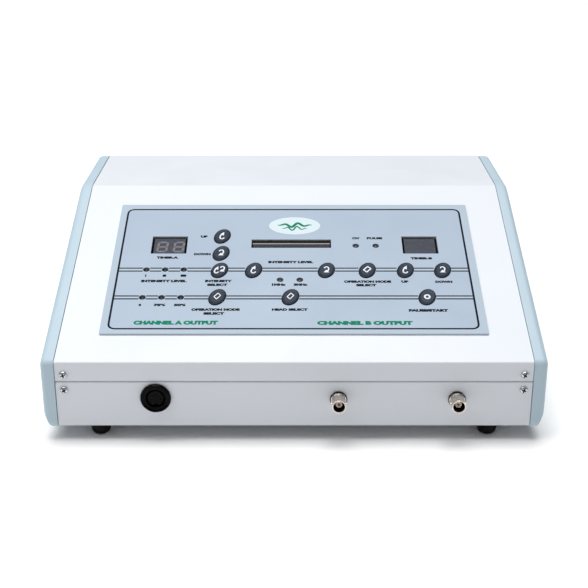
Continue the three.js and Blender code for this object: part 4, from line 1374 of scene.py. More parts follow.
def spline(points, steps=6):
    """A smooth line through points: on each stretch the cubic
    ((2p1) + (p2-p0)t + (2p0-5p1+4p2-p3)t^2 + (3p1-p0-3p2+p3)t^3) / 2."""
    points = np.asarray(points, float)
    ends = np.vstack([2 * points[0] - points[1], points, 2 * points[-1] - points[-2]])
    p0, p1, p2, p3 = (ends[i : len(ends) - 3 + i, None] for i in range(4))
    t = np.linspace(0, 1, steps, endpoint=False)[None, :, None]
    bend = 2 * p0 - 5 * p1 + 4 * p2 - p3
    twist = 3 * p1 - p0 - 3 * p2 + p3
    curve = (2 * p1 + (p2 - p0) * t + bend * t**2 + twist * t**3) / 2
    return np.vstack([curve.reshape(-1, 2), points[-1:]])


# The signs' corner points about the middle of a key.
HOOK = [(1.6, -1.6), (0.8, -2.9), (-0.6, -3.1), (-1.6, -1.8), (-1.4, 0.6), (-0.4, 2.4)]
HOOK_HEAD = [(-1.5, 2.6), (1.3, 0.9), (1.4, 5.4)]
HOOK_FLAT_HEAD = [(2.2, 3.3), (-2.0, 3.3), (0.2, 0.3)]  # the wide tip of a sign that points down
DIAMOND = [(2.4, 0.7), (0.4, 3.3), (-2.4, -0.7), (-0.4, -3.3)]


def hook_sign(width, turn, across, up, scale=1.0):
    """A hooked arrow: the stroke curls from its tail to a filled tip. A turn of -1 points it down."""
    tip = HOOK_HEAD if turn > 0 else HOOK_FLAT_HEAD
    line = spline(np.array(HOOK) * scale) * turn + [across, up]
    head = np.array(tip) * scale * turn + [across, up]
    return [(line, width), (head, None)]


def sign_shapes(kind, width):
    """The white sign on a key, as (path, stroke width); a path without a width is a filled plate."""
    if kind == "up":
        return hook_sign(width, 1, -0.1, -0.3)
    if kind == "down":
        return hook_sign(width, -1, 0.1, 0.5)
    if kind == "both":
        return hook_sign(width, 1, -2.2, -0.6, 0.9) + hook_sign(width, -1, 2.0, 1.2, 0.9)
    if kind == "ring":
        return [(circle(1.0, 32) * [1.8, 2.0], width * 1.25)]
    spread, share = (1.15, 1.0) if kind == "bold_diamond" else (1.0, 0.75)
    corners = (np.array(DIAMOND) + [0.0, 0.8]) * [spread, 1.0]
    return [(eased(corners, 0.4, closed=True, steps=3), width * share)]


def draped_signs(kind, width, ink):
    """Turns a key's sign into strokes and small plates that follow the key's surface."""
    shapes = []
    closed = kind in ("ring", "diamond", "bold_diamond")
    for path, wide in sign_shapes(kind, width):
        surface = key_height(path)
        low, high = surface - SUNK, surface + ink
        if wide is None:
            plate = slab(path, 0, 1, skin=1)
            plate["points"][:, 2] = np.concatenate([low, high])
            shapes.append(plate)
        else:
            shapes.append(stroke(path, wide, low, high, closed=closed, skin=1))
    return shapes


def lamp_spots(node):
    """Centres of a row's lamps, evenly spaced between the ends of its spacer bar."""
    low, high = span(node, PANEL)
    count, _ = LAMP_ROWS[node]
    across = np.linspace(low[0] + LAMP_BAR_END, high[0] - LAMP_BAR_END, count)
    return [(u, (low[1] + high[1]) / 2) for u in across]


def runs(line_height, start, end):
    """The stretches of a printed row line between the keys and lamps that break it."""
    key_gap = KEY_HALF_WIDTH + 0.2
    spots = [(*middle(node, PANEL), KEY_HALF_HEIGHT, key_gap) for node in KEY_SIGNS]
    spots += [(u, v, LAMP_HOLE, LAMP_HOLE) for node in LAMP_ROWS for u, v in lamp_spots(node)]
    gaps = [(u - half, u + half) for u, v, reach, half in spots if abs(v - line_height) < reach]
    edges = [start, *np.ravel(sorted(gaps)), end]
    return [(a, b) for a, b in zip(edges[::2], edges[1::2]) if b - a > SHORTEST_RUN]


# ---------------------------------------------------------------- small parts, as (radius, height) profiles

SCREW_RADIUS = 2.75
SCREW_DOME = 1.9  # height of the head at its middle
CROSS_HALF, CROSS_REACH = 0.42, 1.75  # half width and half length of an arm of the recess
SCREW_SHANK = [(SCREW_RADIUS, 0.15), (1.4, 0.12), (1.4, -10.0), (0.4, -11.5), (0.0, -11.5)]

LAMP_CUP = [(0, -3.4), (1.3, -3.4), (1.5, -1.6), (1.3, -1.6), (0.5, -2.8), (0, -2.8)]

ROUND_SHELL = [
    (6.6, -11),
    (6.6, 1.5),
    (7.0, 2.0),
    (8.3, 2.1),
    (9.3, 2.9),
    (10.1, 2.7),
    (10.7, 1.6),
    (10.7, 0.2),
    (8, 0.2),
    (8, -11),
]
CONTACT_TUBE = [(0.45, 0.9), (0.8, 0.9), (0.8, -4.6), (0.45, -4.6)]
CONTACT_CIRCLE = 3.3  # radius of the circle on which the contacts stand

COAX_BARREL = [
    (4.05, 12.5),
    (4.85, 12.5),
    (4.85, 3.0),
    (5.3, 2.7),
    (5.3, -1.5),
    (7.4, -1.5),
    (7.4, -4.0),
    (4.6, -4.0),
    (4.6, -12.0),
    (2.65, -12.0),
    (2.65, 4.0),
    (4.05, 4.0),
]
# A thin dark sheet over the inside wall of the barrel and its step: painted shade inside the barrel.
COAX_BORE_SHADE = [(4.1, 12.0), (3.98, 12.0), (3.98, 4.1), (2.3, 4.1), (2.3, 3.9), (4.1, 3.9)]
COAX_INSULATOR = [(1.1, 8.8), (2.35, 8.8), (2.35, -12.4), (1.1, -12.4)]
COAX_PIN = [(0.35, 6.4), (0.68, 6.4), (0.68, -16.0), (0.35, -16.0)]
# A dark fill in the insulator's hole round the pin: painted shade.
COAX_HOLE_SHADE = [(1.15, 5.4), (1.15, -12.0), (0.6, -12.0), (0.6, 5.4)]
LUG = [(0, -0.5), (0.95, -0.5), (0.95, 0.55), (0, 0.55)]
LUG_OUT, LUG_UP = 5.05, 7.8  # a lug's middle from the barrel's axis, and above the wall
NUT_RADIUS = 6.0
NUT_BORE = 5.4

BLADES = ((-7, -2), (7, -2), (0, 2))  # middles of the inlet's blades, from the middle of its bezel
BLADE_HALF = (1.15, 2.6)  # half of the room round a blade, across and up
BEZEL_FACE, INLET_FLOOR, INLET_BACK = 1.0, -15.9, -18.05  # depths out of the rear wall

FUSE_CAP = [  # radius, height above the wall, and share of the flutes, as far as the rim
    (0, -5.5, 0),
    (4.7, -5.5, 0),
    (4.9, -5.3, 0),
    (4.9, 2.8, 0),
    (6.3, 2.8, 1),
    (6.6, 3.1, 1),
]


def thread(inner, radii, start, end, count, beyond):
    """A ring of fine ridges: the radius steps between two values while the height runs from start to
    end. Its end faces lie beyond these, by a distance that is negative where the height runs down."""
    ridge = np.where(np.arange(count) % 2, *radii)
    ridges = np.column_stack([ridge, np.linspace(start, end, count)])
    return lathe([(inner, start - beyond), *ridges, (inner, end + beyond)], sides=64, ring=True)


def screw_shapes(angle):
    """A pan-head cross screw: height over the head is 1.9 - 0.09 r^2 - 0.6 (r / R)^8, less the
    cross recess, which fades out over a narrow slope at its walls."""
    sides = 96
    turn = circle(1.0, sides)
    radius = np.concatenate([np.linspace(0, 2.2, 30), np.linspace(2.28, SCREW_RADIUS, 8)])[:, None]
    flat = radius[:, None] * turn[None]
    across, up = np.abs(flat[..., 0]), np.abs(flat[..., 1])
    reach = CROSS_REACH * 0.9
    one_arm = np.maximum(across - CROSS_HALF, up - reach)
    other_arm = np.maximum(up - CROSS_HALF, across - reach)
    fade = np.clip(0.5 - np.minimum(one_arm, other_arm) / 0.22, 0, 1)
    taper = 1 - 0.35 * np.clip(np.maximum(across, up) / CROSS_REACH, 0, 1)
    dome = SCREW_DOME - 0.09 * radius**2 - 0.6 * (radius / SCREW_RADIUS) ** 8
    top = np.concatenate([flat, (dome - sizes().recess * fade * taper)[..., None]], axis=2)
    below = lines_at([(turn * r, h) for r, h in SCREW_SHANK])
    rows = np.concatenate([top, below])
    head = form(rows, grid_faces(len(rows), sides, columns_close=True))
    # A dark cross plate near the floor of the recess: painted shade where the recess lies in shadow.
    arm, end = CROSS_HALF + 0.04, CROSS_REACH - 0.1
    cross = [(end, -arm), (end, arm), (arm, arm), (arm, end), (-arm, end), (-arm, arm)]
    corners = np.array(cross + [(-x, -y) for x, y in cross])
    floor = slab(corners, 0.3, 1.1, skin=1)
    return [turned_about(shape, angle) for shape in (head, floor)]


def foot_shapes(height):
    """A tapered rubber foot with a counterbored screw hole and a shallow grip ring."""
    profile = [
        (1.7, 0.2),
        (1.7, 3.6),
        (3.4, 3.6),
        (3.4, height),
        (4.4, height),
        (5.6, height - 0.4),
        (6.5, height - 2.0),
        (7.0, height - 4.4),
        (7.1, 2.6),
        (7.1, 0.2),
    ]
    return [lathe(eased(profile, 0.7, closed=True, steps=3), sides=64, ring=True)]


def lamp_shapes(node):
    """A row of lamps on a spacer bar: each has a lens with a domed top over a bright cup. The dome is
    (r cos a, 1.6 sin a - 0.6)."""
    low, high = span(node, PANEL)
    bar_top = low[2] + LAMP_BAR_HEIGHT
    shapes = [block(low, [high[0], high[1], bar_top], skin=1, edge=0.4)]
    dome = np.linspace(0, math.pi / 2, 10)
    top = np.column_stack([LAMP_RADIUS * np.cos(dome), 1.6 * np.sin(dome) - 0.6])
    lens = np.vstack([[0, bar_top + 0.02], [LAMP_RADIUS, bar_top + 0.02], top])
    for u, v in lamp_spots(node):
        shapes.append(moved(lathe(lens, sides=32), u, v))
        shapes.append(moved(lathe(LAMP_CUP, sides=24, skin=2), u, v))
    return shapes


def segment(centre, length, width, upright, low, high):
    """One bar of a seven-segment digit: a long hexagon with pointed ends, leaning with the digit."""
    half, side = length / 2, width / 2
    lower = [(-half, 0), (side - half, -side), (half - side, -side)]
    outline = np.array(lower + [(-x, -y) for x, y in lower])
    if upright:
        outline = outline[::-1, ::-1]
    outline = outline + centre
    outline[:, 0] += outline[:, 1] * math.tan(DIGIT_LEAN)
    return slab(outline, low, high, skin=2)


def digit_shapes(across, height, bar, low, high):
    """All seven bars of one digit about its centre."""
    reach = height * DIGIT_WIDTH - bar
    tall = (height - bar) / 2
    level = [((0, up), reach, False) for up in (tall, 0, -tall)]
    side = reach / 2 + DIGIT_GAP
    upright = [((x, up), tall, True) for up in (tall / 2, -tall / 2) for x in (-side, side)]
    shapes = []
    for at, length, stands in level + upright:
        shapes.append(segment(at, length - DIGIT_GAP, bar, stands, low, high))
    return [moved(shape, across, DIGIT_DROP) for shape in shapes]


def pins(across, up, foot, top):
    """Square wires that stand on the board under a display, one at each pair of places."""
    half = 0.25
    wires = []
    for x in across:
        for v in up:
            wires.append(block([x - half, v - half, foot], [x + half, v + half, top], skin=3, edge=0.05))
    return wires


# ---------------------------------------------------------------- operators

LIGHT_FROM_AROUND = 0.22
OVERHEAD_STRENGTH = 2.75
OVERHEAD_TILT = math.radians(-10)
SOFT_LIGHT_PLACE = (-0.75, -0.25, 1.35)  # in metres, as its size
SOFT_LIGHT_SIZE = 1.1
SOFT_LIGHT_WATTS = 8.0


class BuildStage(bpy.types.Operator):
    """Makes the pale floor, soft studio lights, the surrounding light and the camera"""

    bl_idname = "therapy.stage"
    bl_label = "Stage, lights and camera"

    def execute(self, context):
        scene = context.scene
        scene.view_settings.view_transform = "Standard"
        self.make_floor(scene)
        self.make_world(scene)
        self.make_lights(scene)
        self.make_camera(scene)
        return {"FINISHED"}

    def make_floor(self, scene):
        """A flat grid, its far edge well beyond the view."""
        reach = np.linspace(-9, 9, 7)
        across, along = np.meshgrid(reach, reach)
        points = np.stack([across, along, np.zeros_like(across)], axis=-1).reshape(-1, 3)
        mesh = bpy.data.meshes.new("floor")
        mesh.from_pydata(points.tolist(), [], grid_faces(len(reach), len(reach)))
        mesh.materials.append(finish("floor"))
        floor = bpy.data.objects.new("floor", mesh)
        scene.collection.objects.link(floor)

    def make_world(self, scene):
        """White behind the object for the camera, and a softer white for its light."""
        world = bpy.data.worlds.new("studio_light")
        scene.world = world
        world.use_nodes = True
        nodes = world.node_tree.nodes
        links = world.node_tree.links
        nodes.clear()
        rays = nodes.new("ShaderNodeLightPath")
        rays.label = "Seen directly or lighting the room"
        strength = nodes.new("ShaderNodeMapRange")
        strength.label = "Dimmer as light than as backdrop"
        background = nodes.new("ShaderNodeBackground")
        background.label = "Studio surround"
        output = nodes.new("ShaderNodeOutputWorld")
        output.label = "To the world"
        for across, node in enumerate([rays, strength, background, output]):
            node.location = (across * 240, 0)
        strength.inputs["To Min"].default_value = LIGHT_FROM_AROUND
        strength.inputs["To Max"].default_value = 1.0
        background.inputs["Color"].default_value = (1.0, 1.0, 1.0, 1.0)
        links.new(rays.outputs["Is Camera Ray"], strength.inputs["Value"])
        links.new(strength.outputs["Result"], background.inputs["Strength"])
        links.new(background.outputs["Background"], output.inputs["Surface"])

    def make_lights(self, scene):
        """A broad even light from above and a little in front, and a soft panel over the left."""
        sky = bpy.data.lights.new("even_overhead", "SUN")
        sky.energy = OVERHEAD_STRENGTH
        sky.angle = math.radians(40)
        holder = bpy.data.objects.new("even_overhead", sky)
        scene.collection.objects.link(holder)
        holder.rotation_euler = (OVERHEAD_TILT, 0, 0)
        panel = bpy.data.lights.new("panel_left", "AREA")
        panel.shape = "SQUARE"
        panel.size = SOFT_LIGHT_SIZE
        panel.energy = SOFT_LIGHT_WATTS
        holder = bpy.data.objects.new("panel_left", panel)
        scene.collection.objects.link(holder)
        holder.location = SOFT_LIGHT_PLACE
        towards = Vector((0.0, 0.02, 0.08)) - holder.location
        holder.rotation_euler = towards.to_track_quat("-Z", "Y").to_euler()

    def make_camera(self, scene):
        settings = sizes()
        camera = bpy.data.cameras.new("camera")
        camera.lens = settings.lens
        camera.sensor_width = 36
        camera.clip_start = 0.02
        camera.clip_end = 60
        holder = bpy.data.objects.new("camera", camera)
        scene.collection.objects.link(holder)
        holder.location = (0, -settings.camera_back, settings.camera_height)
        holder.rotation_euler = (math.radians(90) - settings.camera_pitch, 0, 0)
        scene.camera = holder


class BuildCase(bpy.types.Operator):
    """Makes the folded cover and tray, with their cut edges rounded"""

    bl_idname = "therapy.case"
    bl_label = "Case shells"

    def execute(self, context):
        edge = sizes().case_edge
        finish_copy("case_cover", "top_cover", ["powder_coat"], edge)
        finish_copy("case_tray", "bottom_tray", ["powder_coat"], edge)
        return {"FINISHED"}


class BuildCheeks(bpy.types.Operator):
    """Makes the two moulded cheeks that close the case"""

    bl_idname = "therapy.cheeks"
    bl_label = "Cheeks"

    def execute(self, context):
        edge = sizes().cheek_edge
        for side in ("left", "right"):
            finish_copy(f"cheek_{side}_moulding", f"{side}_cheek", ["cheek_plastic"], edge)
        return {"FINISHED"}


class BuildScrews(bpy.types.Operator):
    """Makes the eight cross-recessed case screws"""

    bl_idname = "therapy.screws"
    bl_label = "Case screws"

    def execute(self, context):
        angles = iter([12, 52, 33, 71, 20, 64, 41, 5])  # how far each head happens to be turned
        for place, wall in ((FRONT, "front"), (REAR, "rear")):
            for level in ("upper", "lower"):
                for side in ("left", "right"):
                    node = f"screw_{wall}_{level}_{side}"
                    across, up = middle(node, place)
                    shapes = [moved(shape, across, up) for shape in screw_shapes(next(angles))]
                    make_piece(f"pan_{node}", place, shapes, ["zinc_screw", "recess_shade"], [node])
        return {"FINISHED"}


class BuildFeet(bpy.types.Operator):
    """Makes the four rubber feet"""

    bl_idname = "therapy.feet"
    bl_label = "Rubber feet"

    def execute(self, context):
        for end in ("front", "rear"):
            for side in ("left", "right"):
                node = f"foot_{end}_{side}"
                across, up = middle(node, UNDER)
                height = span(node, UNDER)[1][2]
                shapes = [moved(shape, across, up) for shape in foot_shapes(height)]
                make_piece(f"rubber_{node}", UNDER, shapes, ["rubber"], [node])
        return {"FINISHED"}


class BuildFilm(bpy.types.Operator):
    """Makes the keypad's film and the print on it: border, row lines, words and badge"""

    bl_idname = "therapy.film"
    bl_label = "Keypad film and print"

    def execute(self, context):
        settings = sizes()
        finish_copy("keypad_film", "printed_film", ["printed_film"], FINE_EDGE, segments=1)
        dress_node("switch_layer", "switch_film")
        low, high = FILM_FACE - 0.05, FILM_FACE + settings.ink
        band_high = high - settings.ink / 2

        across, up, width, height = BORDER
        start, end = across - width / 2, across + width / 2
        border = rectangle(width, height, 5.5, steps=8) + [across, up]
        lines = [stroke(border, settings.border_line, low, high, closed=True)]
        bands = [self.outer_band(border, low, band_high)]
        for upper, lower in ROW_LINES:
            centre = (upper + lower) / 2
            for line_height in (upper, lower):
                lines += self.row_line(line_height, start, end, settings.row_line, low, high)
            bands += self.row_line(centre, start, end, upper - lower, low, band_high)
        self.add_print("film_lines", lines, ["line"])
        self.add_print("film_bands", bands, ["pale_band"])
        # The ring under the film's edge is coloured pale: painted light.
        self.add_print("film_skirt", [self.skirt()], ["film_edge_light"])

        for name, layout, look in (("film_words", LABELS, "ink"), ("film_titles", TITLES, "accent")):
            words = [moved(lettering(text, w, h, low, high), u, v) for text, u, v, w, h in layout]
            self.add_print(name, words, [look])
        self.add_print("film_badge", self.badge(low, high), ["badge", "accent"])
        return {"FINISHED"}

    def add_print(self, name, shapes, finishes):
        make_piece(name, PANEL, shapes, finishes)

    def row_line(self, line_height, start, end, width, low, high):
        """The stretches of one straight line across the film."""
        paths = [[(a, line_height), (b, line_height)] for a, b in runs(line_height, start, end)]
        return [stroke(path, width, low, high) for path in paths]

    def badge(self, low, high):
        """A pale ellipse with two waves: each has the height 2.6 sin(2.5 pi t) cos(1.4 t)^2 for t from
        -1 to 1, and tapers to its ends as sqrt(1.02 - t^2)."""
        u, v, half_width, half_height = BADGE
        ellipse = circle(1.0, 96) * [half_width, half_height]
        shapes = [slab(ellipse, low, high + 0.02, edge=0.02)]
        t = np.linspace(-1, 1, 60)
        wave = 2.6 * np.sin(2.5 * math.pi * t) * np.cos(1.4 * t) ** 2
        taper = np.sqrt(np.clip(1.02 - t**2, 0, 1))
        for lift, reach, thick in BADGE_WAVES:
            path = np.column_stack([t * reach, lift + wave])
            shapes.append(stroke(path, thick * taper, high, high + 0.05, skin=1))
        return [moved(shape, u, v) for shape in shapes]

    def skirt(self):
        """A pale ring that closes the gap between the film's edge and the steel: its pale colour is painted
        light on an edge that stands in shade.
        """
        width, height = FILM_SIZE
        edge = rectangle(width - 0.1, height - 0.1, 1.0, steps=4) + FILM_CENTRE
        inner = inset(edge, 1.0)
        low, high = 0.04, 1.0
        return ring_of([(edge, low), (edge, high), (inner, high), (inner, low)])

    def outer_band(self, border, low, high):
        """The pale print between the border line and the film's edge: a flat ring."""
        width, height = FILM_SIZE
        edge = rectangle(width - 0.5, height - 0.5, 1.0, steps=8) + FILM_CENTRE
        return ring_of([(edge, low), (edge, high), (border, high), (border, low)])


class BuildKeys(bpy.types.Operator):
    """Makes the eleven embossed keys with their white signs"""

    bl_idname = "therapy.keys"
    bl_label = "Keys"

    def execute(self, context):
        settings = sizes()
        for node, kind in KEY_SIGNS.items():
            across, up = middle(node, PANEL)
            shapes = [key_cap()] + draped_signs(kind, settings.icon_stroke, settings.ink)
            shapes = [moved(shape, across, up) for shape in shapes]
            face = "start_key" if kind == "ring" else "key"
            make_piece(f"cap_{node}", PANEL, shapes, [face, "icon"], [node], body=node)
        return {"FINISHED"}


class BuildLamps(bpy.types.Operator):
    """Makes the four rows of lamps with their lenses and cups"""

    bl_idname = "therapy.lamps"
    bl_label = "Lamps"

    def execute(self, context):
        for node, (_, lens) in LAMP_ROWS.items():
            finishes = [lens, "grey_plastic", "nickel"]
            make_piece(f"lit_{node}", PANEL, lamp_shapes(node), finishes, [node])
        return {"FINISHED"}


class BuildDisplays(bpy.types.Operator):
    """Makes the two-digit displays and the bar-shaped level meter"""

    bl_idname = "therapy.displays"
    bl_label = "Displays and level meter"

    def execute(self, context):
        self.make_display("display_a", "display", lit=True)
        self.make_display("display_b", "display_plain", lit=False)
        self.make_bar_meter()
        return {"FINISHED"}

    def make_display(self, node, face, lit):
        """A display: a housing with a sunk window, the segments of two digits where they show, and pins."""
        settings = sizes()
        low, high = span(node, PANEL)
        width, height = (high - low)[:2]
        top = high[2]
        rim = [(0.3, top), (0.6, top), (0.7, top - 0.25)]
        sides = [(0.3, top - 8.0), (0, top - 7.7), (0, top - 0.3)]
        housing = stepped(rectangle(width, height, 0.4, steps=3), sides + rim)
        pane = rectangle(width - 1.4, height - 1.4, 0.3, steps=3)
        shapes = [housing, slab(pane, top - 1.5, top - 0.12, edge=0.05, skin=1)]
        if lit:
            digit = (settings.digit_height, settings.digit_bar, top - 0.2, top - 0.07)
            for offset in (-width / 4, width / 4):
                shapes += digit_shapes(offset + DIGIT_SHIFT, *digit)
        shapes += pins((-10.2, -5.1, 0, 5.1, 10.2), (-8, 8), low[2], top - 7.9)
        self.add_block(node, shapes, face, "digit")

    def make_bar_meter(self):
        """The meter: a housing with a pale stripe painted as a highlight along its upper edge, and a row of
        lens segments in its slot.
        """
        low, high = span("bar_meter", PANEL)
        width, height = (high - low)[:2]
        top = high[2]
        sides = [(0.3, top - 7.8), (0, top - 7.5), (0, top - 0.25), (0.25, top)]
        housing = stepped(rectangle(width, height, 0.4, steps=3), sides)
        # A pale stripe above the lens segments: a painted highlight.
        highlight_strip = slab(rectangle(*HIGHLIGHT_STRIP_SIZE, 0.3), top - 0.2, top + 0.08, edge=0.05, skin=1)
        pitch = BARS_LENGTH / BAR_COUNT
        bar = slab(rectangle(pitch - 0.15, 2.6, 0.2, steps=2), top - 0.3, top + 0.06, edge=0.05, skin=2)
        places = (np.arange(BAR_COUNT) - (BAR_COUNT - 1) / 2) * pitch
        bars = [moved(bar, x, -1.5) for x in places]
        wires = pins(np.linspace(-27, 27, 10), (-3.4, 3.4), low[2], top - 7.7)
        self.add_block("bar_meter", [housing, moved(highlight_strip, 0, 1.3), *bars, *wires], "highlight_strip", "lens_dark")

    def add_block(self, node, shapes, face, lit):
        across, up = middle(node, PANEL)
        shapes = [moved(shape, across, up) for shape in shapes]
        finishes = ["black_plastic", face, lit, "nickel"]
        make_piece(f"block_{node}", PANEL, shapes, finishes, [node])


class BuildRoundSocket(bpy.types.Operator):
    """Makes the five-pole round socket: its shell, insert and contacts"""

    bl_idname = "therapy.round_socket"
    bl_label = "Round socket"

    def execute(self, context):
        across, up = middle("multi_pin_shell", FRONT)
        shell = lathe(eased(ROUND_SHELL, 0.35, closed=True, steps=4), sides=96, ring=True)
        ridges = thread(7.4, (8.05, 7.85), -10.6, -2.4, count=34, beyond=0.1)
        shapes = [moved(shape, across, up) for shape in (shell, ridges)]
        black = ["black_plastic"]
        make_piece("round_socket_shell", FRONT, shapes, black, ["multi_pin_shell"])
        finish_copy("round_socket_insert", "multi_pin_insert", black, FINE_EDGE)
        tube = lathe(eased(CONTACT_TUBE, 0.12, closed=True, steps=2), sides=24, ring=True)
        spots = CONTACT_CIRCLE * circle(1.0, 8)[:5] + [across, up]
        tubes = [moved(tube, *spot) for spot in spots]
        make_piece("round_socket_contacts", FRONT, tubes, ["dark_nickel"])
        dress_node("multi_pin_nut", "nickel")
        return {"FINISHED"}


class BuildCoaxSockets(bpy.types.Operator):
    """Makes the two bayonet coaxial sockets: barrel with lugs, centre contact and nut"""

    bl_idname = "therapy.coax_sockets"
    bl_label = "Coaxial sockets"

    def execute(self, context):
        barrel = lathe(eased(COAX_BARREL, 0.16, closed=True, steps=3), sides=96, ring=True)
        ridges = thread(5.0, (5.42, 5.2), 2.6, 0.2, count=14, beyond=-0.05)
        # Painted shade: a dark sheet inside the barrel, and a dark fill round the pin.
        bore_shade_sheet = lathe(COAX_BORE_SHADE, sides=96, skin=1, ring=True)
        barrel_shapes = [barrel, ridges, bore_shade_sheet, self.lug(-1), self.lug(1)]
        insulator = lathe(eased(COAX_INSULATOR, 0.15, closed=True, steps=3), sides=48, ring=True)
        pin = lathe(eased(COAX_PIN, 0.06, closed=True, steps=2), sides=32, skin=1, ring=True)
        hole_shade = lathe(COAX_HOLE_SHADE, sides=32, skin=2, ring=True)
        parts = (
            ("barrel", "socket", barrel_shapes, ["nickel", "bore_shade"], "nickel"),
            ("centre", "contact", [insulator, pin, hole_shade], ["insulator", "brass", "bore_shade"], "insulator"),
            ("ring", "nut", [self.nut()], ["dark_nickel"], "dark_nickel"),
        )
        for side in ("left", "right"):
            across, up = middle(f"coax_{side}_contact", FRONT)
            for name, node, shapes, finishes, slot in parts:
                shapes = [moved(shape, across, up) for shape in shapes]
                make_piece(f"coax_{side}_{name}", FRONT, shapes, finishes, [f"coax_{side}_{node}"])
        return {"FINISHED"}

    def lug(self, sign):
        """A short round peg that stands sideways out of the barrel."""
        peg = lathe(eased(LUG, 0.15, steps=3), sides=24)
        x, y, z = peg["points"].T
        points = np.column_stack([sign * (z + LUG_OUT), y, LUG_UP + x])
        return {**peg, "points": points}

    def nut(self):
        """A thin round nut: its rim dips by 0.5 at four notches, where -cos(4a) is more than 0.86."""
        turn = circle(1.0, 96)
        angle = np.arctan2(turn[:, 1], turn[:, 0])
        notch = np.clip((-np.cos(4 * angle) - 0.86) / 0.06, 0, 1)
        rim = (NUT_RADIUS - 0.5 * notch)[:, None]
        inner = [(turn * NUT_BORE, 0.35), (turn * NUT_BORE, 1.45)]
        outer = [(turn * (rim - d), h) for d, h in ((0.15, 1.5), (0, 1.35), (0, 0.45), (0.15, 0.3))]
        return ring_of(inner + outer)


class BuildInlet(bpy.types.Operator):
    """Makes the mains inlet with its three metal blades"""

    bl_idname = "therapy.inlet"
    bl_label = "Mains inlet"

    def execute(self, context):
        across, up = middle("mains_inlet", REAR)

        def skin(centres):
            """The blades and tabs stand close about their three centres, behind the bezel's face, and
            either in front of the body's floor or behind its back."""
            local = (centres - REAR[:, 3]) @ REAR[:, :3] / MM**2 - [across, up, 0]
            blade = np.zeros(len(local), bool)
            for x, z in BLADES:
                blade |= (np.abs(local[:, 0] - x) < BLADE_HALF[0]) & (np.abs(local[:, 1] - z) < BLADE_HALF[1])
            depth = local[:, 2]
            return blade & (depth < BEZEL_FACE) & ((depth > INLET_FLOOR) | (depth < INLET_BACK))

        edge = sizes().fitting_edge * 0.5
        finishes = ["black_plastic", "nickel"]
        finish_copy("mains_inlet_body", "mains_inlet", finishes, edge, skin_of=skin)
        return {"FINISHED"}


class BuildSwitch(bpy.types.Operator):
    """Makes the power switch's frame and its rocker with the on and off marks"""

    bl_idname = "therapy.switch"
    bl_label = "Power switch"

    def execute(self, context):
        black = ["black_plastic"]
        edge = sizes().fitting_edge
        finish_copy("switch_bezel", "switch_frame", black, edge)
        finish_copy("switch_paddle", "switch_rocker", black, edge, body="switch_rocker")
        bar = slab(rectangle(0.7, 3.2, 0.1, steps=2), 0.0, 0.05)
        ring = stroke(circle(1.5, 40), 0.6, 0.0, 0.05, closed=True)
        outer, pressed = self.halves()
        for name, place, mark in (("on", outer, bar), ("off", pressed, ring)):
            make_piece(
                f"rocker_mark_{name}", place, [mark], ["white_mark"], body="switch_rocker"
            )
        return {"FINISHED"}

    def halves(self):
        """Places in the middle of the rocker's two faces: first the one that stands out, then the one
        that is pressed in, which is off."""
        mesh = frame["nodes"]["switch_rocker"].data
        out = REAR[:, 2] / MM
        found = {}
        for face in mesh.polygons:
            normal = np.array(face.normal)
            if normal @ out > 0.9:
                found.setdefault(round(float(normal[2]), 2), []).append(face)
        places = []
        for faces in found.values():
            normal = np.array(faces[0].normal)
            corners = np.unique([mesh.vertices[i].co[:] for face in faces for i in face.vertices], axis=0)
            centre = (corners.min(0) + corners.max(0)) / 2
            right = REAR[:, 0] / MM
            places.append(axes(centre, right, np.cross(normal, right), normal))
        return sorted(places, key=lambda place: -(place[:, 3] @ out))


class BuildFuseHolder(bpy.types.Operator):
    """Makes the fuse holder, its fluted cap and the glass fuse"""

    bl_idname = "therapy.fuse_holder"
    bl_label = "Fuse holder"

    def execute(self, context):
        black = ["black_plastic"]
        finish_copy("fuse_socket", "fuse_holder", black, 0.2)
        across, up = middle("fuse_cap", REAR)
        shapes = [moved(shape, across, up) for shape in self.cap(span("fuse_cap", REAR)[1][2])]
        make_piece("fuse_knob", REAR, shapes, black, ["fuse_cap"], body="fuse_carrier")
        dress_node("fuse_link", "fuse_glass")
        return {"FINISHED"}

    def cap(self, top):
        """A fluted cap, its rim at r - 0.22 (1 + cos 24a) / 2, with a slot between two half discs."""
        turn = circle(1.0, 192)
        angle = np.arctan2(turn[:, 1], turn[:, 0])
        flute = 0.22 * (1 + np.cos(24 * angle))[:, None] / 2
        floor = top - 1.6
        profile = FUSE_CAP + [(6.6, floor - 0.2, 1), (6.4, floor, 1), (0, floor, 0)]
        rows = lines_at([(turn * (r - share * flute), h) for r, h, share in profile])
        body = form(rows, grid_faces(*rows.shape[:2], columns_close=True))
        disc = 6.3
        edge_of_slot = math.asin(0.7 / disc)
        sweep = np.linspace(edge_of_slot, math.pi - edge_of_slot, 40)
        half = np.column_stack([np.cos(sweep), np.sin(sweep)]) * disc
        halves = [slab(outline, floor - 0.2, top, edge=0.35) for outline in (half, -half)]
        return [body, *halves]


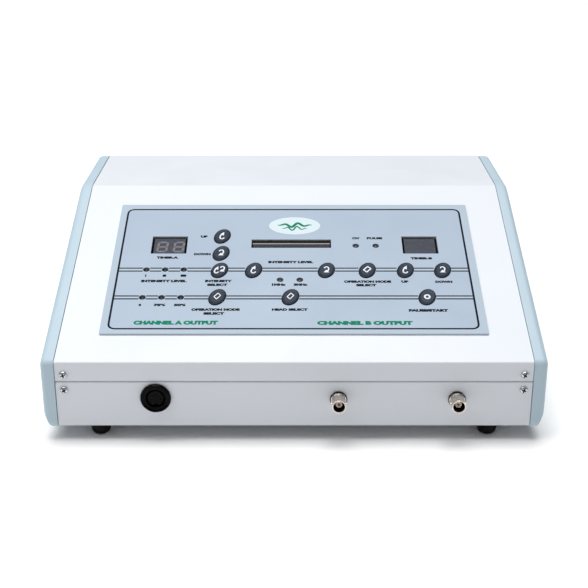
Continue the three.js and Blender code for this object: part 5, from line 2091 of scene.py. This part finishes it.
class BuildInside(bpy.types.Operator):
    """Gives the boards, transformer, heatsink and ribbon cable their finishes"""

    bl_idname = "therapy.inside"
    bl_label = "Inside parts"

    def execute(self, context):
        finishes = {
            "control_board": "circuit_board",
            "generator_board": "circuit_board",
            "heatsink": "heatsink_aluminium",
            "output_transformer": "ferrite",
            "capacitor": "capacitor_sleeve",
            "buzzer": "black_plastic",
            "transformer_core": "core_steel",
            "transformer_winding": "copper_winding",
            "ribbon_cable": "grey_ribbon",
        }
        for node, name in finishes.items():
            dress_node(node, name)
        return {"FINISHED"}


OPERATORS = (
    BuildStage,
    BuildCase,
    BuildCheeks,
    BuildScrews,
    BuildFeet,
    BuildFilm,
    BuildKeys,
    BuildLamps,
    BuildDisplays,
    BuildRoundSocket,
    BuildCoaxSockets,
    BuildInlet,
    BuildSwitch,
    BuildFuseHolder,
    BuildInside,
)


class ConsolePanel(bpy.types.Panel):
    """Lists the operators that build the console"""

    bl_idname = "VIEW3D_PT_console"
    bl_label = "Therapy console"
    bl_space_type = "VIEW_3D"
    bl_region_type = "UI"
    bl_category = "Console"

    def draw(self, context):
        for operator in OPERATORS:
            self.layout.operator(operator.bl_idname)
        for group in (context.scene.console_sizes, context.scene.console_colours):
            column = self.layout.column()
            for setting in group.__annotations__:
                column.prop(group, setting)


CLASSES = (ConsoleSizes, ConsoleColours, *OPERATORS, ConsolePanel)


def register():
    for entry in CLASSES:
        bpy.utils.register_class(entry)
    bpy.types.Scene.console_sizes = bpy.props.PointerProperty(type=ConsoleSizes)
    bpy.types.Scene.console_colours = bpy.props.PointerProperty(type=ConsoleColours)


def unregister():
    del bpy.types.Scene.console_colours
    del bpy.types.Scene.console_sizes
    for entry in reversed(CLASSES):
        bpy.utils.unregister_class(entry)


def main():
    register()
    bpy.ops.therapy.stage()
    bpy.ops.therapy.case()
    bpy.ops.therapy.cheeks()
    bpy.ops.therapy.screws()
    bpy.ops.therapy.feet()
    bpy.ops.therapy.film()
    bpy.ops.therapy.keys()
    bpy.ops.therapy.lamps()
    bpy.ops.therapy.displays()
    bpy.ops.therapy.round_socket()
    bpy.ops.therapy.coax_sockets()
    bpy.ops.therapy.inlet()
    bpy.ops.therapy.switch()
    bpy.ops.therapy.fuse_holder()
    bpy.ops.therapy.inside()


if __name__ == "__main__":
    main()
